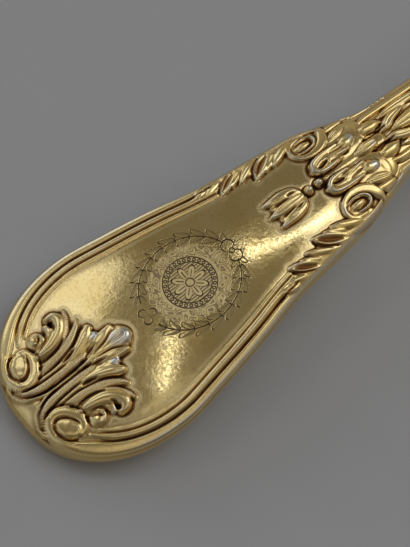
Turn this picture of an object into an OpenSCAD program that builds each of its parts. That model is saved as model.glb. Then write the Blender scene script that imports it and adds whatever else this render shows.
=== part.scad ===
// Serving spoon with a loaded handle: two struck shells are soldered along a seam and filled with
// pitch, a steel tang runs from the pitch through a ferrule into the neck of a gilt bowl.
// The spoon lies bowl up along X, handle tip at -X, and rests on its bowl and on its handle's tip.

/* [Handle] */
// Length of the handle, from its tip to its mouth
handle_l = 138; // [128:1:150]
// Width of the broad end
end_w = 30; // [27:0.5:33]
// Distance from the tip to the broadest place
end_peak = 16.6; // [15:0.1:19]
// Distance from the tip to the waist, below the shoulders
waist_at = 66.7; // [64:0.1:74]
// Width at the waist
waist_w = 12.1; // [10.6:0.1:13]
// Width of the stem halfway between waist and mouth
stem_w = 10.4; // [9.6:0.1:11.4]
// Diameter of the round mouth
mouth_d = 9.6; // [9:0.1:10.4]
// Length over which the stem turns round towards the mouth
mouth_l = 22; // [16:1:28]
// Height of the front above the seam, in the broad end
end_front_h = 1.7; // [1.5:0.1:3.4]
// Depth of the back below the seam, in the broad end
end_back_h = 2.9; // [2:0.1:3.4]
// Height of the front above the seam at the waist
waist_front_h = 2.9; // [2.6:0.1:3.5]
// Height of the stem's front above the seam
stem_front_h = 3.4; // [3.1:0.1:4]
// Depth of the stem's back below the seam
stem_back_h = 3.6; // [3:0.1:4.2]
// Length over which the tip rounds off in side view
tip_round_l = 2.6; // [2:0.1:3.4]
// Thickness of the shells
shell_wall = 0.9; // [0.7:0.05:1]
// Rise of the arch, from the tip to the mouth
arch_rise = 15.5; // [13:0.5:18]

/* [Relief] */
// Height of the struck leaves and scrolls
leaf_h = 0.8; // [0.5:0.05:1]
// Width of the rounded rim
rim_w = 1.5; // [1.2:0.1:1.8]
// Height of the rounded rim
rim_h = 0.35; // [0.3:0.05:0.7]
// Width of the main reed inside the rim
reed_w = 1; // [0.7:0.05:1.1]
// Width of the fine thread inside the reed
thread_w = 0.65; // [0.4:0.05:0.7]
// Gap between rim, reed and thread
reed_gap = 0.3; // [0.2:0.05:0.45]
// Height of the reed and the thread
reed_h = 0.35; // [0.25:0.05:0.6]
// Diameter of the beads above the husk
bead_d = 1.6; // [1.2:0.1:2]

/* [Ferrule] */
// Length of the ferrule
ferrule_l = 7; // [6:0.5:9]
// Diameter of the ferrule's plain band
ferrule_d = 11.4; // [11.2:0.1:12.4]
// Diameter of the wire bead at each end of the ferrule
ferrule_bead_d = 1.6; // [1.2:0.1:2]
// Thickness of the web that closes the handle's mouth
ferrule_web = 1.4; // [1:0.1:2]

/* [Tang] */
// Diameter of the tang
tang_d = 3.6; // [3.2:0.1:3.9]
// Length of the tang inside the handle
tang_l = 46; // [36:1:50]
// Diameter of the tang's point
tang_point_d = 2; // [1.6:0.1:2.4]
// Length of the tang inside the neck
tang_socket_l = 11; // [8:0.5:12]
// Depth of the keying grooves round the tang
tang_groove = 0.35; // [0.2:0.05:0.5]

/* [Bowl] */
// Length of the bowl
bowl_l = 78; // [70:1:86]
// Width of the bowl
bowl_w = 49; // [44:0.5:54]
// Distance from the bowl's heel to its broadest place
bowl_peak = 35; // [30:1:40]
// Depth of the bowl below its rim
bowl_depth = 15; // [13:0.5:17]
// Upright thickness of the bowl
bowl_wall = 1.7; // [1.4:0.1:2.2]
// Height of the rim at the heel above the rim at the front
heel_lift = 1.6; // [0:0.1:2.5]
// Length of the neck, from the ferrule to the bowl's heel
neck_l = 21; // [18:0.5:26]
// Diameter of the neck at the ferrule
neck_d = 7.4; // [7:0.1:8.4]
// Thickness of the drop that stiffens the heel under the bowl
drop_h = 1.3; // [0.8:0.1:1.8]
// Length of the drop along the bowl
drop_l = 24; // [18:1:30]
// Width of the drop
drop_w = 11; // [9:0.5:14]
// Height of the flat that is planished under the bowl
flat_cut = 0.25; // [0.15:0.05:0.35]

/* [Hidden] */

gilt = "goldenrod";
fit_gap = 0.05;              // clearance of the ferrule, the tang and the filling in their seats
end_power = 2.2;             // roundness of the broad end in plan
arch_power = 2.6;            // how the arch gathers towards the tip
end_section = 3.2;           // roundness of a section: broad end, stem, round mouth
stem_section = 2.3;
round_section = 2;
edge_half = 0.2;             // half the upright land where a front and a back surface meet
tip_flat = 0.05;             // where the first section stands
stem_rise_l = 24;            // length below the waist over which the front gains the stem's height
total_l = handle_l + ferrule_web + neck_l + bowl_l;
relief_sink = 0.35;          // how deep a stroke is rooted in its shell
relief_land = 0.12;          // how far strokes stay inside the edge and above the seam

// How the width falls from the broad end (1) to the waist (0), against the share of the way there
TAPER = [
    [0, 1], [0.14, 0.893], [0.29, 0.742], [0.45, 0.546], [0.61, 0.444], [0.75, 0.338], [0.87, 0.156], [1, 0]];

function smooth(t) = t <= 0 ? 0 : t >= 1 ? 1 : t * t * (3 - 2 * t);
function mix(a, b, t) = a + (b - a) * t;
function clamp01(t) = max(0, min(1, t));
function soft_max(a, b, k) = (a + b + sqrt((a - b) * (a - b) + k * k)) / 2;

// A smooth curve through keys [t, value], read at t
function key_slope(keys, i) =
    let (a = max(0, i - 1), b = min(len(keys) - 1, i + 1))
    (keys[b][1] - keys[a][1]) / (keys[b][0] - keys[a][0]);
function key_span(keys, t, i = 0) = i >= len(keys) - 2 || t < keys[i + 1][0] ? i : key_span(keys, t, i + 1);
function keyed(keys, t) =
    let (i = key_span(keys, t), d = keys[i + 1][0] - keys[i][0], f = (t - keys[i][0]) / d,
         m0 = i == 0 ? 0 : key_slope(keys, i) * d,
         m1 = i == len(keys) - 2 ? 0 : key_slope(keys, i + 1) * d)
    (2 * f * f * f - 3 * f * f + 1) * keys[i][1] + (f * f * f - 2 * f * f + f) * m0
    + (3 * f * f - 2 * f * f * f) * keys[i + 1][1] + (f * f * f - f * f) * m1;

// Handle: plan, heights and arch, against the distance u from the tip

cup_l = ferrule_l - ferrule_web;
mouth_from = handle_l - mouth_l;
function round_share(u) = smooth((u - mouth_from) / (mouth_l - cup_l));
function half_w(u) =
    u < end_peak ? end_w / 2 * pow(1 - pow(1 - max(0, u) / end_peak, end_power), 1 / end_power)
    : u < waist_at ? mix(waist_w, end_w, keyed(TAPER, (u - end_peak) / (waist_at - end_peak))) / 2
    : mix(mix(waist_w, stem_w, smooth((u - waist_at) / (mouth_from - waist_at))), mouth_d, round_share(u)) / 2;
function tip_share(u) = sqrt(1 - pow(1 - clamp01(u / tip_round_l), 2));
function stem_share(u) = smooth((u - end_peak) / (waist_at - end_peak));
function rise_share(u) = smooth((u - waist_at) / stem_rise_l);
function flat_front_h(u) = mix(mix(end_front_h, waist_front_h, stem_share(u)), stem_front_h, rise_share(u));
function front_h(u) = tip_share(u) * mix(flat_front_h(u), mouth_d / 2, round_share(u));
function back_h(u) =
    tip_share(u) * mix(mix(end_back_h, stem_back_h, stem_share(u)), mouth_d / 2, round_share(u));
function section_power(u) = mix(mix(end_section, stem_section, stem_share(u)), round_section, round_share(u));
function arch(u) = arch_rise * (1 - pow(1 - u / handle_l, arch_power));

head_steps = 9;
taper_steps = 12;
stem_steps = 10;
STATIONS = concat(
    [for (i = [0 : head_steps]) max(tip_flat, end_peak * (1 - cos(90 * i / head_steps)))],
    [for (i = [1 : taper_steps]) mix(end_peak, waist_at, i / taper_steps)],
    [for (i = [1 : stem_steps]) mix(waist_at, handle_l - cup_l, i / stem_steps)],
    [handle_l]);

seat_z = -min([for (u = STATIONS) arch(u) - back_h(u)]);
axis_z = seat_z + arch_rise;
function seam_z(u) = seat_z + arch(u);
function rise(share, power) = pow(max(0, 1 - pow(min(1, abs(share)), power)), 1 / power);
function front_z(u, v) = seam_z(u) + front_h(u) * rise(v / half_w(u), section_power(u));
function x_of(u) = u - total_l / 2;

// A closed loft through sections, each an upper row and a lower row of as many points

function place(rows, k, side, j) = (2 * k + side) * len(rows[0][0]) + j;
function two(a, b, c, d, flip) = flip ? [[a, d, c], [a, c, b]] : [[a, b, c], [a, c, d]];
function band(rows, side, flip) = [
    for (k = [0 : len(rows) - 2], j = [0 : len(rows[0][0]) - 2])
        each two(place(rows, k, side, j), place(rows, k, side, j + 1),
            place(rows, k + 1, side, j + 1), place(rows, k + 1, side, j), flip)];
function edge(rows, j, flip) = [
    for (k = [0 : len(rows) - 2])
        each two(place(rows, k, 0, j), place(rows, k, 1, j),
            place(rows, k + 1, 1, j), place(rows, k + 1, 0, j), flip)];
function end_cap(rows, k, flip) = [
    for (j = [0 : len(rows[0][0]) - 2])
        each two(place(rows, k, 0, j), place(rows, k, 1, j),
            place(rows, k, 1, j + 1), place(rows, k, 0, j + 1), flip)];
module loft(rows) {
    points = [for (section = rows, row = section) each row];
    faces = concat(band(rows, 0, true), band(rows, 1, false),
        edge(rows, 0, false), edge(rows, len(rows[0][0]) - 1, true),
        end_cap(rows, 0, true), end_cap(rows, len(rows) - 1, false));
    polyhedron(points = points, faces = faces);
}

// Handle: rows of points over the width, above (side 1) or below (side -1) the seam

function arc_row(u, w, h, side, steps, land) = [
    for (j = [0 : steps])
        let (c = cos(180 * j / steps), s = sin(180 * j / steps), power = section_power(u))
        [x_of(u), w * sign(c) * pow(abs(c), 2 / power),
         seam_z(u) + side * max(land, h * pow(max(0, s), 2 / power))]];
function half_h(u, side) = side > 0 ? front_h(u) : back_h(u);
function hollow_w(u) = half_w(max(0, u - shell_wall)) - shell_wall;
function hollow_h(u, side) = max(0, half_h(u - shell_wall, side) - shell_wall);
function is_hollow(u) = hollow_w(u) > half_w(u) / 2;

shell_steps = 14;
tip_dish = 0.1;              // how far the solid tip is dished where the shells meet
function shell_rows(side) = [
    for (u = STATIONS)
        let (outer = arc_row(u, half_w(u), half_h(u, side), side, shell_steps, 0),
             inner = is_hollow(u) ? arc_row(u, hollow_w(u), hollow_h(u, side), side, shell_steps, 0)
                 : arc_row(u, half_w(u) / 2, half_h(u, side) * tip_dish, side, shell_steps, 0))
        side > 0 ? [outer, inner] : [inner, outer]];

fill_steps = shell_steps / 2;
function fill_row(u, side) =
    arc_row(u, hollow_w(u) - fit_gap, hollow_h(u, side) - fit_gap, side, fill_steps, edge_half);
FILL_ROWS = [for (u = STATIONS) if (is_hollow(u)) [fill_row(u, 1), fill_row(u, -1)]];

// Relief: a stroke is a rounded ridge along a curve of points [u, v, half width] on the front

function catmull(a, b, c, d, f) =
    (2 * b + (c - a) * f + (2 * a - 5 * b + 4 * c - d) * f * f + (3 * b - a - 3 * c + d) * f * f * f) / 2;
function curve(pts, steps) = [
    for (i = [0 : len(pts) - 2], k = [0 : steps - (i == len(pts) - 2 ? 0 : 1)])
        catmull(pts[max(0, i - 1)], pts[i], pts[i + 1], pts[min(len(pts) - 1, i + 2)], k / steps)];
function along(pts, i) =
    let (d = pts[min(len(pts) - 1, i + 1)] - pts[max(0, i - 1)]) [d[0], d[1]] / norm([d[0], d[1]]);
// Across a stroke: share of its half width, and share of its height (below 0: rooted in the shell)
RIDGE = [[-1, -1], [0, 1], [1, -1]];
REED = [[-1, -1], [-0.55, 1], [0.55, 1], [1, -1]];
function stroke_ring(pts, i, height, profile, side) =
    let (t = along(pts, i), full = max([for (p = pts) p[2]]), tall = height * sqrt(pts[i][2] / full))
    [for (s = profile)
        let (u = pts[i][0] - t[1] * pts[i][2] * s[0], v = pts[i][1] + t[0] * pts[i][2] * s[0],
             on = min(v, half_w(u) - relief_land), z = front_z(u, on))
        [x_of(u), side * on, s[1] < 0 ? max(seam_z(u) + relief_land, z - relief_sink) : z + tall * s[1]]];
// side: 1 for the stroke as drawn, -1 for its mirror image across the handle
module stroke(pts, height, side = 1, steps = 1, profile = RIDGE) {
    line = curve(pts, steps);
    n = len(profile);
    last = len(line) - 1;
    polyhedron(
        points = [for (i = [0 : last]) each stroke_ring(line, i, height, profile, side)],
        faces = concat(
            [for (i = [0 : last - 1], j = [0 : n - 1])
                each two(i * n + j, i * n + (j + 1) % n, (i + 1) * n + (j + 1) % n, (i + 1) * n + j, side < 0)],
            [for (j = [1 : n - 2]) side > 0 ? [0, j + 1, j] : [0, j, j + 1]],
            [for (j = [1 : n - 2]) [for (c = side > 0 ? [0, j, j + 1] : [0, j + 1, j]) last * n + c]]));
}
// A point inside the edge at u, by inset, with the half width of the stroke there
function inset(u, d, half) =
    let (step = 0.02, slope = (half_w(u + step) - half_w(u - step)) / (2 * step),
         long = sqrt(1 + slope * slope))
    [u + d * slope / long, half_w(u) - d / long, half];
function spiral(s) = [
    for (i = [0 : s[5]])
        let (r = s[1] * mix(1, spiral_close, i / s[5]), a = mix(s[2], s[3], i / s[5]))
        [s[0][0] + r * cos(a), s[0][1] + r * sin(a), s[4] * (i == 0 || i == s[5] ? spiral_point : 1)]];

// The drawing of the relief follows the broad end: lay() fits its points to the length and width
drawn_waist = 66.7;
drawn_w = 30;
along_scale = waist_at / drawn_waist;
across_scale = end_w / drawn_w;
function lay(pts) = [for (p = pts) [p[0] * along_scale, p[1] * across_scale, p[2] * across_scale]];
function lay_inset(pts) = [for (p = pts) inset(p[0] * along_scale, p[1] * across_scale, p[2] * across_scale)];

// Spirals: centre [u, v], radius, angles from and to, half width of the ridge, steps
TIP_VOLUTE = [[3.75, 5.1], 1.95, 110, 430, 0.5, 11];
SHOULDER_VOLUTE = [[53.8, 5.7], 1.75, 110, -230, 0.45, 11];
SNAIL = [[7.8, 7.1], 1.25, -90, 230, 0.36, 7];
spiral_close = 0.6;          // radius at the end of a spiral, as a share of its start
spiral_point = 0.45;         // half width at both ends of a spiral, as a share
TIP_STEM = [
    [1.1, 3.3, 0.2], [1.9, 2.4, 0.35], [3.3, 1.55, 0.5], [5.5, 0.98, 0.5], [8.5, 0.9, 0.45], [11.5, 1.2, 0.25]];
LEAF_MIDDLE = [[9.5, 0, 0.2], [13, 0, 0.75], [16, 0, 1.3], [17.2, 0, 1.05], [18.1, 0, 0.2]];
LEAF_LOBES = [
    [[11.3, 0.5, 0.25], [13.3, 1.1, 0.6], [15, 1.65, 0.78], [16.4, 2.15, 0.2]],
    [[9.3, 1.3, 0.25], [11.3, 1.95, 0.6], [12.9, 2.9, 0.95], [14.25, 4.2, 0.2]],
    [[5.6, 3.2, 0.3], [8, 3.05, 0.55], [10.8, 3.95, 0.62], [12.95, 5.5, 0.2]],
    [[6.3, 3.95, 0.35], [8.8, 4.1, 0.5], [11.4, 5.6, 0.55], [12.7, 8, 0.2]]];
CURL = [
    [6.4, 4.85, 0.35], [8.6, 5, 0.6], [10.4, 6, 0.8], [11.4, 7.7, 0.85], [10.9, 8.8, 0.6], [10.1, 8.6, 0.25]];
// Side leaves: distance from the tip, inset from the edge, half width
SIDE_LEAVES = [
    [[40.9, 0.95, 0.2], [38.1, 1.45, 0.45], [37, 1.95, 0.2]],
    [[42.1, 1.05, 0.2], [40.1, 1.6, 0.45], [38.7, 2.2, 0.2]],
    [[44.1, 1.05, 0.3], [42.6, 1.9, 0.85], [41.4, 2.85, 0.75], [40.6, 3.7, 0.2]],
    [[47.6, 1.05, 0.2], [45.4, 2.45, 0.6], [43.8, 3.65, 0.2]],
    [[49.5, 1.25, 0.3], [48, 2.25, 1], [46.8, 3.3, 0.95], [45.6, 4.3, 0.2]],
    [[53.2, 1.15, 0.3], [50.6, 2.55, 0.7], [48.9, 4, 0.2]]];
PALMETTE = [
    [[58.2, 1.9, 0.35], [56.4, 1.9, 0.95], [54, 1.8, 1.15], [52, 1.8, 0.3]],
    [[61.2, 2.6, 0.35], [59.6, 2.5, 1.1], [57.7, 2.4, 0.4]],
    [[61.8, 4.9, 0.35], [60, 4.7, 0.85], [57.9, 4.1, 0.35]],
    [[62, 6.1, 0.25], [60, 6.3, 0.7], [57.8, 5.7, 0.3]]];
HUSK = [[48.6, 0.5, 0.35], [46.4, 1.6, 0.8], [43.3, 2.25, 0.2]];
STEM_LEAF = [[66, 0, 0.3], [69, 0, 1.1], [75, 0, 1.4], [86, 0, 0.9], [97, 0, 0.2]];
// Petals on the waist: distance from the tip, and share of the waist's width off the axis
STEM_PETAL = [[62.1, 0.203], [64.5, 0.206]];
HUSK_HEART = [48.2, 44.6];
BEADS = [49.7, 51.45];
eye_half = 0.25;
rim_from = 1.4;
reeds_from = 4.6;
reeds_to = 40.2;
rim_steps = 8;
reed_steps = 12;
stem_runs = 4;

// A boss on the front: the hull of flattened balls at points [u, v], rooted as a stroke is
module boss(pts, d) {
    hull() for (p = pts)
        translate([x_of(p[0]), p[1], front_z(p[0], p[1]) + (leaf_h - relief_sink) / 2])
            scale([1, 1, (leaf_h + relief_sink) / d]) sphere(d = d, $fn = 8);
}
module volute(s, side) {
    stroke(lay(spiral(s)), leaf_h, side);
    eye = [s[0][0] * along_scale, side * s[0][1] * across_scale];
    boss([eye - [eye_half, 0], eye + [eye_half, 0]], s[1] * across_scale);
}
module border_relief(side) {
    rim_run = concat(
        [for (i = [0 : rim_steps]) mix(rim_from * along_scale, end_peak, i / rim_steps)],
        [for (i = [1 : rim_steps]) mix(end_peak, waist_at, i / rim_steps)],
        [for (i = [1 : stem_runs]) mix(waist_at, mouth_from, i / stem_runs)]);
    stroke([for (u = rim_run) inset(u, rim_w / 2, rim_w / 2)], rim_h, side, 1, REED);
    reed_in = rim_w + reed_gap + reed_w / 2;
    thread_in = rim_w + 2 * reed_gap + reed_w + thread_w / 2;
    for (line = [[reed_in, reed_w], [thread_in, thread_w]])
        stroke([for (i = [0 : reed_steps])
            inset(mix(reeds_from, reeds_to, i / reed_steps) * along_scale, line[0], line[1] / 2)],
            reed_h, side);
}
module middle_relief() {
    for (leaf = [LEAF_MIDDLE, STEM_LEAF])
        stroke(lay(leaf), leaf_h);
    for (at = BEADS)
        boss([[at * along_scale, 0]], bead_d);
    boss([for (at = HUSK_HEART) [at * along_scale, 0]], bead_d);
}
module side_relief(side) {
    volute(TIP_VOLUTE, side);
    volute(SHOULDER_VOLUTE, side);
    stroke(lay(spiral(SNAIL)), leaf_h, side);
    stroke(lay(CURL), leaf_h, side, 2);
    for (line = concat([TIP_STEM, HUSK], LEAF_LOBES, PALMETTE))
        stroke(lay(line), leaf_h, side);
    for (lobe = SIDE_LEAVES)
        stroke(lay_inset(lobe), leaf_h, side);
    boss([for (p = STEM_PETAL) [p[0] * along_scale, side * p[1] * waist_w]], bead_d);
}

module handle_front_shell()
    color(gilt) {
        loft(shell_rows(1));
        middle_relief();
        for (side = [1, -1]) {
            border_relief(side);
            side_relief(side);
        }
    }

module handle_back_shell()
    color(gilt) loft(shell_rows(-1));

module handle_filling()
    color("saddlebrown")
        difference() {
            loft(FILL_ROWS);
            tang_solid(fit_gap);
        }

// Turned pieces stand on the axis of the mouth, with their profile's y along X from the mouth

module turned() {
    translate([x_of(handle_l), 0, axis_z]) rotate([0, 90, 0]) rotate_extrude() children();
}

module ferrule()
    color(gilt)
        turned() difference() {
            union() {
                translate([0, -cup_l]) square([ferrule_d / 2, ferrule_l]);
                for (y = [-cup_l, ferrule_web - ferrule_bead_d])
                    translate([ferrule_d / 2, y + ferrule_bead_d / 2]) circle(d = ferrule_bead_d);
            }
            translate([-1, -cup_l - 1]) square([mouth_d / 2 + fit_gap + 1, cup_l + 1]);
            translate([-1, -1]) square([tang_d / 2 + fit_gap + 1, ferrule_web + 2]);
        }

groove_count = 4;
groove_w = 1.6;
groove_from = 8;
groove_pitch = 5;
tang_front = ferrule_web + tang_socket_l;
tang_full_l = groove_from + groove_count * groove_pitch;
module tang_solid(grow)
    turned() difference() {
        polygon([[0, -tang_l - grow], [tang_point_d / 2 + grow, -tang_l - grow],
            [tang_d / 2 + grow, -tang_full_l], [tang_d / 2 + grow, tang_front + grow], [0, tang_front + grow]]);
        for (i = [0 : groove_count - 1])
            translate([tang_d / 2 - tang_groove + grow, -groove_from - i * groove_pitch - groove_w])
                square([tang_d, groove_w - 2 * grow]);
    }

module tang()
    color("slategray") tang_solid(0);

// Bowl and neck: plan, rim and surfaces, against the distance s from the ferrule

half_bowl = bowl_w / 2;
heel_power = 2.3;
front_power = 1.9;
depth_power = 1.25;
across_power = 2.2;
heel_in = 6;
heel_out = 9;
heel_w = 4.2;
heel_blend = 2;
drop_taper = 0.5;
neck_waist = 3.5;
neck_thin = 2.4;
function bowl_half(x) =
    x <= 0 ? 0
    : x < bowl_peak ? half_bowl * rise(1 - x / bowl_peak, heel_power)
    : half_bowl * rise((x - bowl_peak) / (bowl_l - bowl_peak), front_power);
function neck_half(s) = mix(neck_d / 2, neck_waist, smooth(s / neck_l));
function blend_width(x) = heel_blend * smooth((x + heel_in) / heel_in) * (1 - smooth(2 * x / bowl_peak));
function plan_half(s) = soft_max(s < neck_l + bowl_peak ? neck_half(s) : 0, bowl_half(s - neck_l),
    blend_width(s - neck_l));
function rim_z(x) = bowl_depth + bowl_wall - flat_cut
    + heel_lift * (pow(1 - x / bowl_l, 2) - pow(1 - bowl_peak / bowl_l, 2));
function depth(s) = bowl_depth * pow(clamp01((plan_half(s) - heel_w) / (half_bowl - heel_w)), depth_power);
function drop_width(x) = drop_w * (1 - drop_taper * clamp01(x / drop_l));
function drop(x, t) = drop_h * smooth(1 - x / drop_l) * max(0, 1 - pow(2 * t / drop_width(x), 2));
function bowl_share(s) = smooth((s - neck_l + heel_in) / (heel_in + heel_out));
function neck_z(s) =
    let (from = tang_socket_l / 2) mix(axis_z, rim_z(0) - neck_thin / 2, smooth((s - from) / (neck_l - from)));
function neck_h(s, share) = max(edge_half, mix(neck_d / 2, neck_thin, smooth(s / neck_l)) * rise(share, 2));
function bowl_top(s, share) = rim_z(s - neck_l) - depth(s) * (1 - pow(abs(share), across_power));
function upper_z(s, share) = mix(neck_z(s) + neck_h(s, share), bowl_top(s, share), bowl_share(s));
function lower_z(s, share) = mix(neck_z(s) - neck_h(s, share),
    bowl_top(s, share) - bowl_wall - drop(s - neck_l, share * plan_half(s)), bowl_share(s));

bowl_steps = 22;
neck_stations = 6;
heel_stations = 7;
front_stations = 15;
BOWL_STATIONS = concat(
    [for (i = [0 : neck_stations]) mix(0, neck_l - heel_in, i / neck_stations)],
    [for (i = [1 : heel_stations]) mix(neck_l - heel_in, neck_l + heel_out, i / heel_stations)],
    [for (i = [1 : front_stations])
        mix(neck_l + heel_out, neck_l + bowl_l - tip_flat, sin(90 * i / front_stations))]);
function bowl_row(s, upper) = [
    for (j = [0 : bowl_steps])
        let (share = cos(180 * j / bowl_steps))
        [x_of(handle_l + ferrule_web + s), share * plan_half(s),
         upper ? upper_z(s, share) : lower_z(s, share)]];

module bowl()
    color(gilt)
        difference() {
            loft([for (s = BOWL_STATIONS) [bowl_row(s, true), bowl_row(s, false)]]);
            tang_solid(fit_gap);
            translate([x_of(handle_l), -half_bowl, -bowl_depth]) cube([total_l - handle_l, bowl_w, bowl_depth]);
        }

handle_front_shell();
handle_back_shell();
handle_filling();
ferrule();
tang();
bowl();
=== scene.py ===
"""Dressed model of a gilt serving spoon: the struck handle, its ferrule and its bowl on a pale floor.

The handle's relief is struck as a die strikes it: a height above a smooth form, drawn as strokes along
curves. Lengths in this script are millimetres until a mesh is made, which is in metres like the frame.
"""
import logging
from collections.abc import Sequence
from dataclasses import dataclass
from enum import Enum
from functools import partialmethod

import bpy
import numpy as np
from mathutils import Matrix, Vector


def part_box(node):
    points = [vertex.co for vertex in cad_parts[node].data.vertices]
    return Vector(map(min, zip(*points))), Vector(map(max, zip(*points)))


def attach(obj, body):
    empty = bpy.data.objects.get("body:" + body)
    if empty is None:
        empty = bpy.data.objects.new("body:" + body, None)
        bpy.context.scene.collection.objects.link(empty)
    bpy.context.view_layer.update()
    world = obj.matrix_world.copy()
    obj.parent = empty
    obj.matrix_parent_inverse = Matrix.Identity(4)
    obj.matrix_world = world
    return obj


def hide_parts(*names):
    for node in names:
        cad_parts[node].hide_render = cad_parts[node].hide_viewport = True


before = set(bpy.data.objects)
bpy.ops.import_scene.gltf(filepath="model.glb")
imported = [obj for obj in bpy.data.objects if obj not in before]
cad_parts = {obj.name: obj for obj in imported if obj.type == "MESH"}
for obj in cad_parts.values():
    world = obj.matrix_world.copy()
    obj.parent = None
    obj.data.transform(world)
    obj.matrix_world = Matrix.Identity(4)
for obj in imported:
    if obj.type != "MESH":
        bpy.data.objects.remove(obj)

LOG = logging.getLogger("serving_spoon")
MM = 0.001
BODY = "root"
IMAGE_HEIGHT = 547
Array = np.ndarray
Point = tuple[float, float, float]
Keys = tuple[tuple[float, float], ...]
Colour = tuple[float, float, float, float]
Piece = bpy.types.Object
Material = bpy.types.Material
Tree = bpy.types.NodeTree
Socket = bpy.types.NodeSocket


def smooth(share: Array) -> Array:
    """Ease from 0 to 1, held outside that range."""
    share = np.clip(share, 0.0, 1.0)
    return share * share * (3.0 - 2.0 * share)


def mix(low: Array | float, high: Array | float, share: Array | float) -> Array:
    """Blend two values by a share of the second."""
    return low + (high - low) * share


def bow(share: Array, power: float | Array) -> Array:
    """Height of a unit superellipse, at a share of its half width; a power of 2 makes a circle."""
    inside = 1.0 - np.clip(np.abs(share), 0.0, 1.0) ** power
    return inside ** (1.0 / power)


def read(keys: Keys, at: Array) -> Array:
    """Read straight lines through pairs of place and value."""
    return np.interp(at, *zip(*keys))


def keyed(keys: Keys, at: Array) -> Array:
    """Read a smooth curve through keys that is level at both ends.

    Args:
        keys: pairs of place and value, in order.
        at: places to read.

    Returns:
        The values there.
    """
    place, value = np.array(keys).T
    slope = np.zeros_like(value)
    slope[1:-1] = (value[2:] - value[:-2]) / (place[2:] - place[:-2])
    at = np.clip(at, place[0], place[-1])
    span = np.clip(np.searchsorted(place, at, side="right") - 1, 0, len(place) - 2)
    width = place[span + 1] - place[span]
    f = (at - place[span]) / width
    start = (2 * f**3 - 3 * f**2 + 1) * value[span] + (f**3 - 2 * f**2 + f) * slope[span] * width
    end = (3 * f**2 - 2 * f**3) * value[span + 1] + (f**3 - f**2) * slope[span + 1] * width
    return start + end


def smooth_curve(points: Array, per_span: int) -> Array:
    """Sample a smooth curve that passes through points.

    Args:
        points: rows of control points.
        per_span: samples between two points.

    Returns:
        Rows of samples, the last point included.
    """
    padded = np.vstack([points[0], points, points[-1]])
    f = np.linspace(0.0, 1.0, per_span, endpoint=False)[:, None]
    runs = []
    for a, b, c, d in zip(padded, padded[1:], padded[2:], padded[3:]):
        bend = (2 * a - 5 * b + 4 * c - d) * f**2 + (3 * b - a - 3 * c + d) * f**3
        runs.append(0.5 * (2 * b + (c - a) * f + bend))
    return np.vstack(runs + [points[-1][None, :]])


def blur(values: Array, reach: float) -> Array:
    """Soften a grid of values, edges held.

    Args:
        values: rows and columns.
        reach: about how many cells to blend over.

    Returns:
        The softened grid.
    """
    cells = int(np.ceil(2 * reach))
    kernel = np.exp(-0.5 * (np.arange(-cells, cells + 1) / reach) ** 2)
    kernel /= kernel.sum()
    for axis in (0, 1):
        pad = [(cells, cells) if k == axis else (0, 0) for k in (0, 1)]
        wide = np.pad(values, pad, mode="edge")
        length = values.shape[axis]
        values = sum(w * np.take(wide, range(i, i + length), axis=axis) for i, w in enumerate(kernel))
    return values


def surface(name: str, points: Array) -> Piece:
    """Shape a grid primitive to a grid of points.

    Args:
        name: name of the object.
        points: rows, columns and coordinates in millimetres.

    Returns:
        The new object, smooth shaded.
    """
    rows, columns = points.shape[:2]
    bpy.ops.mesh.primitive_grid_add(x_subdivisions=columns - 1, y_subdivisions=rows - 1, size=1.0)
    piece = bpy.context.object
    piece.name = name
    piece.data.name = name
    piece.data.vertices.foreach_set("co", (points.reshape(-1, 3) * MM).ravel())
    piece.data.update()
    bpy.ops.object.shade_smooth()
    return piece


def weld(piece: Piece) -> None:
    """Close the seams and poles of a surface and turn its normals outward.

    Args:
        piece: the object.
    """
    bpy.ops.object.select_all(action="DESELECT")
    piece.select_set(True)
    bpy.context.view_layer.objects.active = piece
    bpy.ops.object.mode_set(mode="EDIT")
    bpy.ops.mesh.select_all(action="SELECT")
    bpy.ops.mesh.remove_doubles(threshold=0.000002)
    bpy.ops.mesh.normals_make_consistent(inside=False)
    bpy.ops.object.mode_set(mode="OBJECT")


def store(piece: Piece, name: str, values: Array) -> None:
    """Keep a value from 0 to 1 per vertex, under a name, for the materials to read."""
    layer = piece.data.attributes.new(name, "FLOAT", "POINT")
    layer.data.foreach_set("value", np.clip(values, 0.0, 1.0).astype(np.float32).ravel())


def ends_closed(rows: Array) -> Array:
    """Repeat the first and the last row of a grid."""
    return np.concatenate([rows[:1], rows, rows[-1:]])


def dress(piece: Piece, node: str, gilt: Material) -> None:
    """Gild a new piece and put it in the place of its solid.

    Args:
        piece: the object.
        node: the solid that it replaces.
        gilt: its finish.
    """
    piece.data.materials.append(gilt)
    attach(piece, BODY)
    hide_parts(node)
    LOG.info("%s: %d faces", piece.name, len(piece.data.polygons))


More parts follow.
